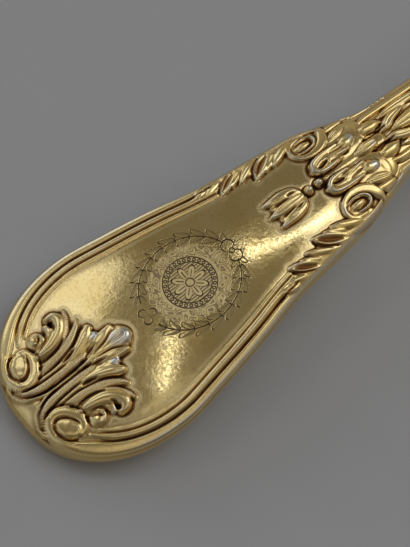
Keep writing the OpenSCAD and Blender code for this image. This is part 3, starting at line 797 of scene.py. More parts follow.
@dataclass(frozen=True)
class Handle(HandleForm):
    """The handle's two struck faces.

    Attributes:
        stretches: where along the face the length of its cells changes.
        ratios: how much longer than the finest the cells are in each stretch.
        softened: reach over which the struck height is softened, in cells.
        around: reach of the mean height that recesses and crests are set against, in cells.
        matted: distance from a ridge, and breadth, of the matted ground round it.
        rim_silver: distance from the edge, and breadth, of the silver along the rim, partly rubbed by hands
            and partly a painted highlight.
    """

    front: Face = Face("handle_front", "handle_front_shell", 1, 1.0, 0.125, 9.0, 210, 20)
    back: Face = Face("handle_back", "handle_back_shell", -1, 0.6, 0.3, 4.0, 100, 14)
    stretches: Point = (19.0, 37.0, 63.0)
    past_waist: float = 3.0
    ratios: tuple[float, ...] = (1.0, 4.8, 1.1, 1.6)
    edge_fade: float = 0.5
    tip_fade: float = 0.9
    softened: float = 0.7
    around: float = 2.6
    recess: float = 0.2
    matted: tuple[float, float] = (0.48, 0.28)
    rim_silver: tuple[float, float] = (0.55, 0.26)
    crest: float = 0.1

    def grid(self, face: Face) -> tuple[Array, Array, Array]:
        """Grid of one face, evenly spaced round each section.

        Args:
            face: which face.

        Returns:
            Distance from the tip, distance off the axis and height, each by row and column.
        """
        rounding = self.tip_round * (1.0 - np.cos(np.linspace(0.0, np.pi / 2, face.rounding)))
        rows = [rounding[:-1] + self.tip_flat]
        ends = (self.tip_round, *self.stretches, self.waist_at + self.past_waist, self.length)
        for start, end, ratio in zip(ends, ends[1:], (*self.ratios, face.stem_ratio)):
            rows.append(np.linspace(start, end, round((end - start) / (face.step * ratio)) + 1)[1:])
        rows = np.concatenate(rows)
        turn = np.linspace(0.0, np.pi, 600)
        u = np.repeat(rows[:, None], face.columns + 1, axis=1)
        v = np.zeros_like(u)
        z = np.zeros_like(u)
        half, tall = self.half_width(rows), self.half_height(rows, face.side)
        for i, power in enumerate(self.section_power(rows)):
            across = half[i] * np.sign(np.cos(turn)) * np.abs(np.cos(turn)) ** (2 / power)
            rise = tall[i] * np.sin(turn).clip(0.0) ** (2 / power)
            length = np.concatenate([[0.0], np.cumsum(np.hypot(np.diff(across), np.diff(rise)))])
            even = np.linspace(0.0, length[-1], face.columns + 1)
            v[i] = np.interp(even, length, across)
            z[i] = np.interp(even, length, rise)
        return u, v, self.seam(u) + face.side * z

    def wear_and_highlight(self, u: Array, v: Array, proud: Array) -> Array:
        """How much silver shows at the rim and the crests: partly gilding rubbed through by hands, partly a
        painted highlight.

        Args:
            u: distances from the tip.
            v: distances off the axis.
            proud: how far each point stands above those around it.

        Returns:
            0 where the gold is whole, 1 where silver shows, rubbed through or painted as a highlight.
        """
        place, breadth = self.rim_silver
        inside = self.half_width(u) - np.abs(v)
        # The rim's silver, stronger on the near side, and the crests' silver are partly rubbing and partly a
        # painted highlight.
        near_side = smooth(-v / 5.0)
        past_tip = smooth((u - 6.0) / 6.0)
        to_shoulder = smooth((u - 16.0) / 20.0)
        rim = mix(0.6, 0.85, near_side) * past_tip * np.exp(-((inside - place) / breadth) ** 2)
        crests = mix(0.3, 0.6, to_shoulder) * smooth(proud / self.crest - 0.5)
        return np.maximum(rim, crests)

    def strike(self, face: Face, strokes: Sequence[Stroke], grooves: Sequence[Stroke]) -> Piece:
        """Make one face with its relief.

        Args:
            face: which face.
            strokes: the relief.
            grooves: what is cut into it.

        Returns:
            The piece, with attributes for its gilding.
        """
        u, v, z = self.grid(face)
        relief = Relief.averaged(u, v, strokes, grooves, face.scale)
        inside = self.half_width(u) - np.abs(v)
        fade = smooth(inside / self.edge_fade) * smooth(u / self.tip_fade)
        height = blur(relief.height, self.softened) * fade
        proud = height - blur(height, self.around)
        struck = smooth(0.5 - relief.gap / 0.3)
        place, breadth = self.matted
        on_panel = smooth(inside / 3.0 - 0.8)
        halo = np.exp(-((relief.gap - place) / breadth) ** 2) * on_panel
        # How far a point sits below those round it; the material browns and darkens it, partly as tarnishing
        # and old polish and partly as painted shade.
        sunk = -proud * mix(0.75, 1.0, struck) / self.recess
        points = ends_closed(np.stack([u + TIP_X, v * face.side, z + face.side * height], axis=-1))
        points[0, :, 2] = self.seam(u[0])
        points[-1, :, 2] = self.seam(u[-1])
        piece = surface(face.name, points)
        # recess carries tarnishing and painted shade; bare carries silver rubbed through and a painted
        # highlight.
        marks = {"recess": np.maximum(sunk, blur(relief.dark, 0.8)),
                 "bare": np.maximum(relief.bare, self.wear_and_highlight(u, v, proud)), "halo": halo, "hatch": relief.hatch,
                 "along": relief.along / HATCH_RUN, "front": np.full_like(u, face.side), "struck": struck}
        for mark, values in marks.items():
            store(piece, mark, ends_closed(values))
        return piece

    def build(self, gilt: Material) -> None:
        """Make both faces and dress them in gilt.

        Args:
            gilt: their finish.
        """
        drawing = Ornament()
        for face, drawn in ((self.front, drawing.front()), (self.back, (drawing.border(), []))):
            dress(self.strike(face, *drawn), face.node, gilt)


@dataclass(frozen=True)
class Bowl:
    """The bowl and its neck, with the sizes of their solid.

    Attributes:
        rows: rows of the mesh along the neck, from the heel to the widest place, and along the front.
        edge_round: how far the edge is rounded, as a share of the thickness.
    """

    length: float = 77.94
    width: float = 48.9
    peak: float = 35.0
    depth: float = 15.0
    wall: float = 1.7
    flat_cut: float = 0.25
    heel_lift: float = 1.6
    heel_power: float = 2.3
    front_power: float = 1.9
    depth_power: float = 1.25
    across_power: float = 2.2
    heel_in: float = 6.0
    heel_out: float = 9.0
    heel_width: float = 4.2
    heel_blend: float = 2.0
    drop_height: float = 1.3
    drop_length: float = 24.0
    drop_width: float = 11.0
    neck_length: float = 21.0
    neck_diameter: float = 7.4
    neck_waist: float = 3.5
    neck_thin: float = 2.4
    socket: float = 11.0
    rows: tuple[int, int, int] = (24, 110, 60)
    columns: int = 120
    edge_round: float = 0.47

    def plan_half(self, s: Array) -> Array:
        """Half the width in plan.

        Args:
            s: distances from the ferrule.

        Returns:
            The half widths there.
        """
        x = s - self.neck_length
        heel = bow(1.0 - x / self.peak, self.heel_power)
        front = bow((x - self.peak) / (self.length - self.peak), self.front_power)
        bowl = np.where(x <= 0, 0.0, self.width / 2 * np.where(x < self.peak, heel, front))
        neck = mix(self.neck_diameter / 2, self.neck_waist, smooth(s / self.neck_length))
        neck = np.where(x < self.peak, neck, 0.0)
        fade = 1.0 - smooth(2 * x / self.peak)
        blended = self.heel_blend * smooth((x + self.heel_in) / self.heel_in) * fade
        return (neck + bowl + np.sqrt((neck - bowl) ** 2 + blended**2)) / 2

    def rim(self, x: Array | float) -> Array:
        """Height of the rim at each distance from the heel."""
        lift = (1.0 - x / self.length) ** 2 - (1.0 - self.peak / self.length) ** 2
        return self.depth + self.wall - self.flat_cut + self.heel_lift * lift

    def faces(self, s: Array, share: Array, axis: float) -> tuple[Array, Array]:
        """Heights of the upper and the lower face.

        Args:
            s: distance from the ferrule.
            share: distance off the axis, as a share of the half width.
            axis: height of the neck's axis at the ferrule.

        Returns:
            Both heights, with the edge between them rounded.
        """
        x = s - self.neck_length
        half = self.plan_half(s)
        opened = np.clip((half - self.heel_width) / (self.width / 2 - self.heel_width), 0.0, 1.0)
        hollow = self.depth * opened**self.depth_power * (1.0 - np.abs(share) ** self.across_power)
        top = self.rim(x) - hollow
        taper = self.drop_width * (1.0 - 0.5 * np.clip(x / self.drop_length, 0.0, 1.0))
        swell = np.clip(1 - (2 * share * half / taper) ** 2, 0, 1)
        drop = self.drop_height * smooth(1.0 - x / self.drop_length) * swell
        sink = smooth((s - self.socket / 2) / (self.neck_length - self.socket / 2))
        middle = mix(axis, self.rim(0.0) - self.neck_thin / 2, sink)
        neck = mix(self.neck_diameter / 2, self.neck_thin, smooth(s / self.neck_length)) * bow(share, 2.0)
        bowl = smooth((x + self.heel_in) / (self.heel_in + self.heel_out))
        upper = mix(middle + neck, top, bowl)
        lower = mix(middle - neck, top - self.wall - drop, bowl)
        reach = self.edge_round * (upper - lower)
        inside = np.minimum(half * (1.0 - np.abs(share)), reach)
        rounding = reach - np.sqrt(np.clip(reach**2 - (reach - inside) ** 2, 0.0, None))
        return upper - rounding, np.maximum(lower + rounding, 0.0)

    def build(self, gilt: Material) -> None:
        """Make the bowl with its neck, one closed surface, and dress it in gilt.

        Args:
            gilt: its finish.
        """
        low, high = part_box("ferrule")
        axis = (low[2] + high[2]) / 2 / MM
        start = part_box("bowl")[0][0] / MM
        heel, widest = self.neck_length - self.heel_in, self.neck_length + self.peak
        on_neck, on_heel, on_front = self.rows
        front = widest + (self.length - self.peak) * np.sin(np.linspace(0.0, np.pi / 2, on_front))
        rows = np.concatenate([np.linspace(0.0, heel, on_neck)[:-1],
                               np.linspace(heel, widest, on_heel)[:-1], front])
        share = np.cos(np.linspace(0.0, np.pi, self.columns + 1))
        s, across = np.meshgrid(rows, share, indexing="ij")
        upper, lower = self.faces(s, across, axis)
        x, y = s + start, across * self.plan_half(s)
        top = np.stack([x, y, upper], axis=-1)
        under = np.stack([x, y, lower], axis=-1)[:, ::-1]
        ring = ends_closed(np.concatenate([top, under[:, 1:-1], top[:, :1]], axis=1))
        ring[0] = (start, 0.0, axis)
        ring[-1] = ring[-1].mean(axis=0)
        piece = surface("spoon_bowl", ring)
        weld(piece)
        dress(piece, "bowl", gilt)


@dataclass(frozen=True)
class Ferrule:
    """The turned collar between handle and bowl, with a bead at each end and a banded middle.

    Attributes:
        clearance: how far the surface stays inside its solid.
        rows: points along a bead and along the middle.
    """

    bead: float = 0.8
    bore: float = 1.9
    groove: float = 0.25
    bands: int = 6
    swell: float = 0.12
    clearance: float = 0.005
    rows: tuple[int, int] = (13, 41)
    sides: int = 96

    def profile(self, start: float, end: float, radius: float) -> Array:
        """Outline of the half section.

        Args:
            start: where along the axis it starts.
            end: where it ends.
            radius: its outer radius.

        Returns:
            Rows of place along the axis and radius.
        """
        on_bead, on_middle = self.rows
        turn = np.linspace(-np.pi / 2, np.pi / 2, on_bead)
        swing, rise = self.bead * np.sin(turn), radius - self.bead + self.bead * np.cos(turn)
        along = np.linspace(start + 2 * self.bead, end - 2 * self.bead, on_middle)
        cuts = self.groove * np.cos(np.linspace(0.0, self.bands * np.pi, on_middle)) ** 8
        swell = self.swell * np.cos(np.linspace(-1.0, 1.0, on_middle) * np.pi / 2)
        band = np.column_stack([along, radius - self.bead - cuts + swell])
        first = np.column_stack([start + self.bead + swing, rise])
        last = np.column_stack([end - self.bead + swing, rise])
        return np.vstack([[[start, FORM.mouth_diameter / 2]], first, band[1:-1], last, [[end, self.bore]]])

    def build(self, gilt: Material) -> None:
        """Turn the ferrule round the handle's axis and dress it in gilt.

        Args:
            gilt: its finish.
        """
        low, high = (np.array(corner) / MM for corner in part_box("ferrule"))
        axis = (low[2] + high[2]) / 2
        profile = self.profile(low[0], high[0], (high[2] - low[2]) / 2 - self.clearance)
        around = np.linspace(0.0, 2 * np.pi, self.sides + 1)
        points = np.stack([np.repeat(profile[:, :1], self.sides + 1, axis=1),
                           np.outer(profile[:, 1], np.cos(around)),
                           axis + np.outer(profile[:, 1], np.sin(around))], axis=-1)
        piece = surface("handle_ferrule", points)
        weld(piece)
        dress(piece, "ferrule", gilt)


def linear(hexadecimal: str) -> Colour:
    """Turn an sRGB colour into linear light.

    Args:
        hexadecimal: six digits after a hash sign.

    Returns:
        Red, green, blue and full alpha.
    """
    parts = [int(hexadecimal[i:i + 2], 16) / 255 for i in (1, 3, 5)]
    red, green, blue = (c / 12.92 if c <= 0.04045 else ((c + 0.055) / 1.055) ** 2.4 for c in parts)
    return red, green, blue, 1.0


def scaled(colour: Colour, share: float) -> Colour:
    """Darken or brighten a colour."""
    red, green, blue, alpha = colour
    return share * red, share * green, share * blue, alpha


def add_node(tree: Tree, kind: str, inputs: dict[str | int, object] | None = None,
             **settings: object) -> bpy.types.Node:
    """Add a node, set it and link it.

    Args:
        tree: the material's or world's tree.
        kind: node type.
        inputs: socket to value, or to the output socket that feeds it.
        settings: properties of the node.

    Returns:
        The node.
    """
    node = tree.nodes.new(kind)
    for key, value in settings.items():
        setattr(node, key, value)
    for key, value in (inputs or {}).items():
        if isinstance(value, Socket):
            tree.links.new(value, node.inputs[key])
        else:
            node.inputs[key].default_value = value
    return node


MATH = "ShaderNodeMath"
RANGE = "ShaderNodeMapRange"


@dataclass(frozen=True)
class Signal:
    """A value in a material, with which arithmetic can be written.

    The larger of two values is a | b, the smaller a & b, and a comparison gives 1 or 0.
    """

    tree: Tree
    socket: Socket

    def feed(self, kind: str, *others: "Signal | float", **settings: object) -> "Signal":
        """Feed this value to the first socket of a new node.

        Args:
            kind: node type.
            others: what its next sockets get.
            settings: properties of the node.

        Returns:
            The node's first output.
        """
        values = [value.socket if isinstance(value, Signal) else value for value in (self, *others)]
        return Signal(self.tree, add_node(self.tree, kind, dict(enumerate(values)), **settings).outputs[0])

    __add__ = partialmethod(feed, MATH, operation="ADD")
    __sub__ = partialmethod(feed, MATH, operation="SUBTRACT")
    __mul__ = partialmethod(feed, MATH, operation="MULTIPLY")
    __pow__ = partialmethod(feed, MATH, operation="POWER")
    __abs__ = partialmethod(feed, MATH, operation="ABSOLUTE")
    __or__ = partialmethod(feed, MATH, operation="MAXIMUM")
    __and__ = partialmethod(feed, MATH, operation="MINIMUM")
    __gt__ = partialmethod(feed, MATH, operation="GREATER_THAN")
    __lt__ = partialmethod(feed, MATH, operation="LESS_THAN")

    def line(self, half: float) -> "Signal":
        """1 where the value is 0, and 0 where it is further off than half a line's width."""
        return abs(self).feed(RANGE, half, 0.4 * half)

    def within(self, low: float, high: float) -> "Signal":
        """1 between two values, else 0."""
        return (self > low) * (self < high)


def polar(x: Signal, y: Signal) -> tuple[Signal, Signal]:
    """Distance from the middle and angle."""
    return (x * x + y * y) ** 0.5, y.feed(MATH, x, operation="ARCTAN2")


def layered(ground: Socket | Colour, *coats: tuple[Signal, Socket | Colour]) -> Socket:
    """Lay coats of colour over a ground.

    Args:
        ground: the colour at the bottom.
        coats: how much of what is under it each coat hides, and its colour.

    Returns:
        The colour that shows.
    """
    for share, coat in coats:
        inputs = {"Factor": share.socket, 6: ground, 7: coat}
        ground = add_node(share.tree, "ShaderNodeMix", inputs, data_type="RGBA").outputs[2]
    return ground


def new_tree(name: str) -> tuple[Material, Tree]:
    """Start a material.

    Args:
        name: its name.

    Returns:
        The material and its empty tree.
    """
    material = bpy.data.materials.new(name)
    material.use_nodes = True
    material.node_tree.nodes.clear()
    return material, material.node_tree


@dataclass(frozen=True)
class Engraving:
    """Lines cut with a burin in the plain panel: a wreath of laurel, tied with a bow, round a rosette.

    Attributes:
        line: half width of a cut.
        petals: number and length of the rosette's petals.
        ribs: where the rib of a petal starts and ends.
        beads: number of beads between the rings, and their radius.
        wreath: half length and half width of the wreath.
        leaf: length of a leaf, as a share of the wreath's size.
        leaf_half: half width of a leaf, as a share of the distance between two.
        leaves: leaves along half the wreath, and how far they lean.
        gaps: angles that the leaves keep from the bow and from the open end.
        ground: where inside the wreath the worming of the ground starts and ends, as a share of its size.
        curl: size of a curl of the worming.
    """

    centre: float = 28.4
    line: float = 0.12
    petals: tuple[int, float] = (8, 2.55)
    ribs: tuple[float, float] = (0.8, 1.9)
    eye: float = 0.6
    rings: tuple[float, float] = (3.0, 3.75)
    beads: tuple[int, float] = (30, 0.2)
    ground_pitch: float = 0.4
    wreath: tuple[float, float] = (7.3, 6.5)
    leaf: float = 0.17
    leaf_half: float = 0.38
    leaves: tuple[int, float] = (11, 0.8)
    gaps: tuple[float, float] = (0.24, 0.3)
    bow: float = 1.8
    fleuron: float = 1.3
    ground: tuple[float, float] = (0.58, 0.86)
    curl: float = 1.1

    def rosette(self, x: Signal, y: Signal) -> Signal:
        """Petals on a shaded ground in a beaded ring.

        Args:
            x: distance from the middle, along the handle.
            y: distance from the middle, across the handle.

        Returns:
            1 in a cut, 0 beside it.
        """
        reach, turn = polar(x, y)
        count, length = self.petals
        swing = turn * (count / 2)
        petal = reach - abs(swing.feed(MATH, operation="COSINE")) ** 0.5 * length
        rib = swing.feed(MATH, operation="SINE") * reach * (2 / count)
        drawn = petal.line(1.4 * self.line) | (rib.line(0.8 * self.line) * reach.within(*self.ribs))
        for radius in (self.eye, *self.rings):
            drawn = drawn | (reach - radius).line(self.line)
        count, size = self.beads
        share = (turn * (count / (2 * np.pi))).feed(MATH, operation="FRACT")
        cell = (share - 0.5) * reach * (2 * np.pi / count)
        off = reach - sum(self.rings) / 2
        stripe = (y * (1 / self.ground_pitch)).feed(MATH, operation="FRACT") - 0.5
        shading = stripe.feed(RANGE, -0.1, 0.1) * reach.within(self.eye, self.rings[0]) * (petal > 0.0)
        return drawn | (shading * 0.7) | ((cell * cell + off * off) ** 0.5 - size).line(self.line)

    def laurel(self, x: Signal, y: Signal) -> Signal:
        """Two branches of leaves, from the bow to the open end.

        Args:
            x: distance from the middle, along the handle.
            y: distance from the middle, across the handle.

        Returns:
            1 in a cut, 0 beside it.
        """
        long, wide = self.wreath
        reach, turn = polar(x * (1 / long), y * (1 / wide))
        out = abs(reach - 1.0) * (1 / self.leaf)
        count, lean = self.leaves
        along = abs(turn)
        cell = (along * (count / np.pi) - out * lean).feed(MATH, operation="FRACT") - 0.5
        swell = ((out & 1.0) ** 0.75 * np.pi).feed(MATH, operation="SINE") * self.leaf_half
        side = abs(cell) - swell
        leaf = (side * (np.pi * wide / count)).line(self.line)
        shade = (side < 0.0) * (cell < 0.0)
        stem = ((reach - 1.0) * wide).line(self.line)
        at_bow, at_end = self.gaps
        return ((leaf | (shade * 0.6)) * out.within(0.04, 1.0) | stem) * along.within(at_bow, np.pi - at_end)

    def knots(self, x: Signal, y: Signal) -> Signal:
        """The bow, and a small flower at the open end.

        Args:
            x: distance from the middle, along the handle.
            y: distance from the middle, across the handle.

        Returns:
            1 in a cut, 0 beside it.
        """
        past = x - self.wreath[0]
        reach, turn = polar(past, y)
        loops = (reach - abs(turn.feed(MATH, operation="SINE")) ** 0.9 * self.bow).line(1.3 * self.line)
        knot = (reach - 0.36).line(self.line)
        tail = (abs(y) - past * 0.7).line(self.line) * reach.within(0.4, self.bow)
        reach, turn = polar(x + self.wreath[0], y)
        lobes = abs((turn * 1.5).feed(MATH, operation="COSINE")) ** 0.6 * self.fleuron
        flower = (reach - lobes).line(1.3 * self.line)
        return loops | knot | tail | flower

    def build(self, tree: Tree, place: Socket) -> tuple[Signal, Signal]:
        """Draw all the lines, and the frosted ground inside the wreath.

        Args:
            tree: the material's tree.
            place: coordinates on the object, in metres.

        Returns:
            1 in a cut, 0 beside it; and 1 where cuts too fine to draw dull the gold, 0 beside it.
        """
        apart = add_node(tree, "ShaderNodeSeparateXYZ", {"Vector": place})
        x = Signal(tree, apart.outputs["X"]) * (1 / MM) - (TIP_X + self.centre)
        y = Signal(tree, apart.outputs["Y"]) * (1 / MM)
        inputs = {"Vector": place, "Scale": 1 / (self.curl * MM), "Detail": 0.0}
        noise = Signal(tree, add_node(tree, "ShaderNodeTexNoise", inputs).outputs[0])
        level = (noise * 7.0).feed(MATH, operation="FRACT") - 0.5
        reach, _ = polar(x * (1 / self.wreath[0]), y * (1 / self.wreath[1]))
        worming = level.line(0.3) * reach.within(*self.ground) * 0.6
        cut = self.rosette(x, y) | self.laurel(x, y) | self.knots(x, y) | worming
        return cut, reach.feed(RANGE, self.ground[1], self.ground[1] - 0.1)


@dataclass(frozen=True)
class GiltFinish:
    """Fire-gilt silver: gold fired on as an amalgam, burnished with agate, chased and engraved.

    It is a yellow mirror where it is burnished, softer where it is struck, matt beside the chased lines,
    brown in the recesses and the cut lines, partly from tarnishing and old polish dried there and partly
    as painted shade, and white at the rim, the crests and some leaf tips, partly where hands have rubbed
    it through to the silver and partly as a painted highlight. The real grain and scratches are hundredths
    of a millimetre wide, too fine to show, so they are drawn coarser.

    Attributes:
        scratch: length, breadth and depth of the scratches.
        chasing: how far chasing changes the colour and the polish.
        frosting: how far frosting changes the colour, the polish and the metal's mirror.
        brown_depths: depths, as shares of a full recess, where the brown coat starts and is full; it is
            partly tarnishing and old polish, partly painted shade.
        darkest_depths: depths where the darkest coat starts and is full; it is partly dried dirt and polish,
            partly painted shade.
    """

    gold: str = "#f6da96"
    deep_gold: str = "#eecf86"
    # The silver colour serves both for gilding rubbed through and for a painted highlight.
    silver: str = "#d9d5c8"
    matted: str = "#eed6a6"
    # These two browns are partly the gold's own tarnishing and dried polish and partly painted shade in
    # recesses and grooves.
    tarnish_and_shade: str = "#8d5a26"
    patina_and_shade: str = "#2c1608"
    polish: float = 0.085
    satin: float = 0.17
    dull: float = 0.45
    blotch: float = 4.5455
    ripple: float = 1.0
    grain: float = 0.38462
    scratch: Point = (2.0, 1 / 6, 2.0)
    scratch_turn: float = 0.5
    hatch_pitch: float = 0.3
    chasing: tuple[float, float] = (0.4, 0.6)
    frosting: Point = (0.2, 0.8, 0.3)
    brown_depths: tuple[float, float] = (0.08, 0.5)
    darkest_depths: tuple[float, float] = (0.3, 0.85)
    bump: float = 0.04

    def build(self, name: str, engraving: Engraving) -> Material:
        """Make the material.

        Args:
            name: its name.
            engraving: what is cut in the front of the handle.

        Returns:
            The material.
        """
        material, tree = new_tree(name)
        place = add_node(tree, "ShaderNodeTexCoord").outputs["Object"]
        drawn_out = add_node(tree, "ShaderNodeMapping", {
            "Vector": place, "Rotation": (0.0, 0.0, self.scratch_turn),
            "Scale": [1 / (size * MM) for size in self.scratch]}).outputs[0]
        patterns = []
        scales = [1 / (size * MM) for size in (self.blotch, self.ripple, self.grain)]
        for vector, scale in (*((place, scale) for scale in scales), (drawn_out, 1.0)):
            inputs = {"Vector": vector, "Scale": scale, "Detail": 2.0}
            patterns.append(Signal(tree, add_node(tree, "ShaderNodeTexNoise", inputs).outputs[0]))
        blotch, ripple, grain, scratch = patterns
        recess, bare, halo, hatch, along, front, struck = (
            Signal(tree, add_node(tree, "ShaderNodeAttribute", attribute_name=mark).outputs["Fac"])
            for mark in ("recess", "bare", "halo", "hatch", "along", "front", "struck"))
        cut, frosted = (drawn * front for drawn in engraving.build(tree, place))
        chased = halo | hatch
        comb = (along * (HATCH_RUN * 2 * np.pi / self.hatch_pitch)).feed(MATH, operation="SINE") * hatch
        # The brown and darkest coats in recesses, grooves and cut lines are partly tarnishing and dried
        # polish and partly painted shade.
        depth = recess.feed(RANGE, *self.darkest_depths) | cut
        browned = recess.feed(RANGE, *self.brown_depths) | comb.feed(RANGE, 0.1, 0.9, 0.0, 0.45)
        browned = browned | grain.feed(RANGE, 0.52, 0.75, 0.0, 0.2)
        worked = (chased * self.chasing[0]) | (frosted * self.frosting[0])
        # Silver shows where gilding is rubbed through, and as a painted highlight on the rim, the crests and
        # some leaf tips.
        silvered = bare * blotch.feed(RANGE, 0.3, 0.42)
        colour = layered(
            linear(self.gold), (blotch.feed(RANGE, 0.35, 0.65), linear(self.deep_gold)),
            (worked, linear(self.matted)), (silvered, linear(self.silver)),
            (browned, linear(self.tarnish_and_shade)), (depth, linear(self.patina_and_shade)))
        rough = struck.feed(RANGE, 0.0, 1.0, self.polish, self.satin)
        rough = rough + grain.feed(RANGE, 0.3, 0.7, -0.03, 0.05)
        dulled = depth | (chased * self.chasing[1]) | (frosted * self.frosting[1])
        rough = rough + (rough * -1.0 + self.dull) * dulled
        metal = depth.feed(RANGE, 0.0, 1.0, 1.0, 0.75) - frosted * self.frosting[2]
        pits = grain * struck.feed(RANGE, 0.0, 1.0, 0.12, 0.03)
        waves = ripple * struck.feed(RANGE, 0.0, 1.0, 0.2, 0.0)
        height = pits + waves + scratch * 0.06 + comb * 0.4 - cut
        bump = add_node(tree, "ShaderNodeBump", {
            "Height": height.socket, "Strength": 0.6, "Distance": self.bump * MM})
        shader = add_node(tree, "ShaderNodeBsdfPrincipled", {
            "Base Color": colour, "Metallic": metal.socket, "Roughness": rough.socket,
            "Normal": bump.outputs["Normal"]})
        add_node(tree, "ShaderNodeOutputMaterial", {"Surface": shader.outputs["BSDF"]})
        return material


@dataclass(frozen=True)
class MottledFinish:
    """A plain surface with a faint mottle.

    Attributes:
        mottle: size of the mottle.
        shade: how dark the mottle is, where 1 doesn't show.
    """

    name: str
    colour: str
    roughness: float
    metallic: float = 0.0
    mottle: float = 11.111
    shade: float = 0.94

    def build(self) -> Material:
        """Make the material.

        Returns:
            The material.
        """
        material, tree = new_tree(self.name)
        place = add_node(tree, "ShaderNodeTexCoord").outputs["Object"]
        inputs = {"Vector": place, "Scale": 1 / (self.mottle * MM), "Detail": 3.0}
        mottle = Signal(tree, add_node(tree, "ShaderNodeTexNoise", inputs).outputs[0])
        tone = layered(linear(self.colour), (mottle, scaled(linear(self.colour), self.shade)))
        shader = add_node(tree, "ShaderNodeBsdfPrincipled", {
            "Base Color": tone, "Roughness": self.roughness, "Metallic": self.metallic})
        add_node(tree, "ShaderNodeOutputMaterial", {"Surface": shader.outputs["BSDF"]})
        return material


# Cast pitch: poured in hot and left to set, so it is brown-black with a soft, waxy gloss.
PITCH = MottledFinish("cast_pitch", "#3b2415", 0.5)
# Drawn steel: pulled through a die and filed, so it is grey with a satin sheen.
STEEL = MottledFinish("drawn_steel", "#9a9da1", 0.4, metallic=1.0)
# Matt paper: uncoated and grey, so it has no gloss and shows soft shadows.
PAPER = MottledFinish("matt_paper", "#b6b5b3", 0.7)


@dataclass(frozen=True)
class Viewpoint:
    """The photograph's camera, in millimetres."""

    place: Point = (-164.45, -52.43, 165.42)
    forward: Point = (0.42394, 0.2906, -0.8578)
    right: Point = (0.7528, -0.63966, 0.15535)
    focal_px: float = 1300.0
    sensor: float = 36.0

    def build(self) -> None:
        """Create the camera and make it the scene's."""
        data = bpy.data.cameras.new("camera")
        camera = bpy.data.objects.new("camera", data)
        bpy.context.collection.objects.link(camera)
        data.sensor_width = self.sensor
        data.lens = self.focal_px / IMAGE_HEIGHT * self.sensor
        data.clip_start = 0.01
        forward = Vector(self.forward).normalized()
        right = Vector(self.right)
        right = (right - right.dot(forward) * forward).normalized()
        turn = Matrix((right, right.cross(forward), -forward)).transposed()
        camera.matrix_world = Matrix.Translation(Vector(self.place) * MM) @ turn.to_4x4()
        bpy.context.scene.camera = camera


class LampShape(Enum):
    """Outlines of a lamp's face, with the share of its box that the face fills."""

    RECTANGLE = 1.0
    ELLIPSE = np.pi / 4


DAYLIGHT = "#e5eeff"
WARM_WALL = "#fff6e6"
CEILING = "#fffaf2"


@dataclass(frozen=True)
class Softbox:
    """A soft lamp that points at the handle, in metres and degrees.

    Attributes:
        glow: how bright its face is, where 1 is as bright as white paper in full light.
        roll: turn about its own axis.
    """

    name: str
    place: Point
    size: tuple[float, float]
    glow: float
    roll: float = 0.0
    shape: LampShape = LampShape.RECTANGLE

    def build(self, target: Vector) -> None:
        """Create the lamp.

        Args:
            target: where it points, in metres.
        """
        data = bpy.data.lights.new(self.name, "AREA")
        data.shape = self.shape.name
        data.size, data.size_y = self.size
        data.energy = self.glow * np.pi * self.shape.value * self.size[0] * self.size[1]
        data.color = linear(DAYLIGHT)[:3]
        lamp = bpy.data.objects.new(self.name, data)
        bpy.context.collection.objects.link(lamp)
        aim = (target - Vector(self.place)).to_track_quat("-Z", "Y").to_matrix()
        turn = aim @ Matrix.Rotation(np.radians(self.roll), 3, "Z")
        lamp.matrix_world = Matrix.Translation(self.place) @ turn.to_4x4()


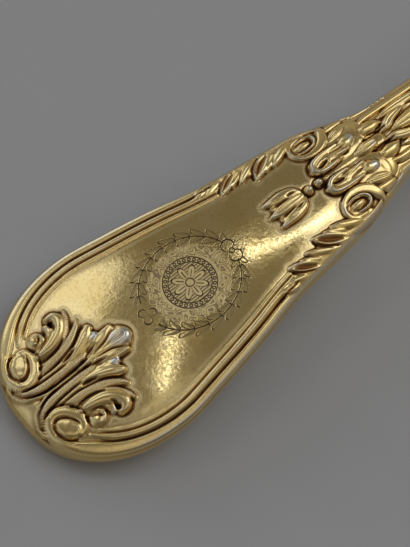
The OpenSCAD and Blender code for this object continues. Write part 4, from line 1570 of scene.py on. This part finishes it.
@dataclass(frozen=True)
class Stage:
    """The floor, the lamps and the room round them."""

    floor: float = 12.0
    target: Point = (-0.09, 0.0, 0.01)
    lamps: tuple[Softbox, ...] = (
        Softbox("panel_far", (-0.3, 0.46, 0.9), (0.38, 0.35), 0.98, 0.0, LampShape.ELLIPSE),
        Softbox("strip_stem", (0.078, 0.15, 0.9), (0.29, 0.012), 5.5),
        Softbox("strip_tip", (-0.17, 0.18, 0.9), (0.12, 0.011), 3.9, 43.0),
        Softbox("bounce_tip", (-0.2, -0.01, 0.9), (0.26, 0.11), 0.4),
        Softbox("bounce_shoulder", (0.33, -0.1, 0.9), (0.46, 0.6), 1.25),
        Softbox("window_far", (-0.2, 1.1, 0.45), (1.0, 0.45), 0.75),
        Softbox("window_tip", (-1.1, 0.2, 0.5), (0.6, 0.4), 0.12),
        Softbox("card_near", (0.64, -0.25, 0.85), (0.6, 0.6), 0.4),
    )
    far_wall: float = 0.5
    end_wall: float = 0.32
    near_wall: float = 0.14
    far_ceiling: float = 0.175
    near_ceiling: float = 0.5

    def light_room(self) -> None:
        """Make the glow of the walls and the ceiling, which the metal mirrors."""
        world = bpy.data.worlds.new("surroundings")
        world.use_nodes = True
        bpy.context.scene.world = world
        tree = world.node_tree
        ahead = add_node(tree, "ShaderNodeTexCoord").outputs["Generated"]
        way = add_node(tree, "ShaderNodeSeparateXYZ", {"Vector": ahead})
        lengthways, sideways, upward = (Signal(tree, way.outputs[axis]) for axis in "XYZ")
        far, end, near, far_above, near_above = (scaled(linear(colour), glow) for colour, glow in (
            (DAYLIGHT, self.far_wall), (WARM_WALL, self.end_wall), (WARM_WALL, self.near_wall),
            (CEILING, self.far_ceiling), (CEILING, self.near_ceiling)))
        walls = layered(near, (sideways.feed(RANGE, -0.4, 0.4), far),
                        (lengthways.feed(RANGE, 0.15, 0.5), end))
        ceiling = layered(near_above, (sideways.feed(RANGE, -0.25, 0.0), far_above))
        room = layered(walls, (upward.feed(RANGE, 0.55, 0.85), ceiling))
        tree.links.new(room, tree.nodes["Background"].inputs["Color"])

    def build(self) -> None:
        """Lay the floor, hang the lamps and light the room."""
        bpy.ops.mesh.primitive_plane_add(size=self.floor)
        floor = bpy.context.object
        floor.name = "floor"
        floor.data.materials.append(PAPER.build())
        for lamp in self.lamps:
            lamp.build(Vector(self.target))
        self.light_room()


def main() -> None:
    """Build the spoon, its stage and its camera."""
    logging.basicConfig(level=logging.INFO)
    bpy.ops.object.select_all(action="DESELECT")
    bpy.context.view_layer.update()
    gilt = GiltFinish().build("fire_gilt_silver", Engraving())
    for assembly in (Handle(), Bowl(), Ferrule()):
        assembly.build(gilt)
    for name, finish in (("handle_filling", PITCH), ("tang", STEEL)):
        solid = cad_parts[name]
        solid.data.materials.clear()
        solid.data.materials.append(finish.build())
        LOG.info("%s: solid, in %s", name, finish.name)
    Stage().build()
    Viewpoint().build()
    bpy.context.scene.view_settings.view_transform = "Standard"


if __name__ == "__main__":
    main()
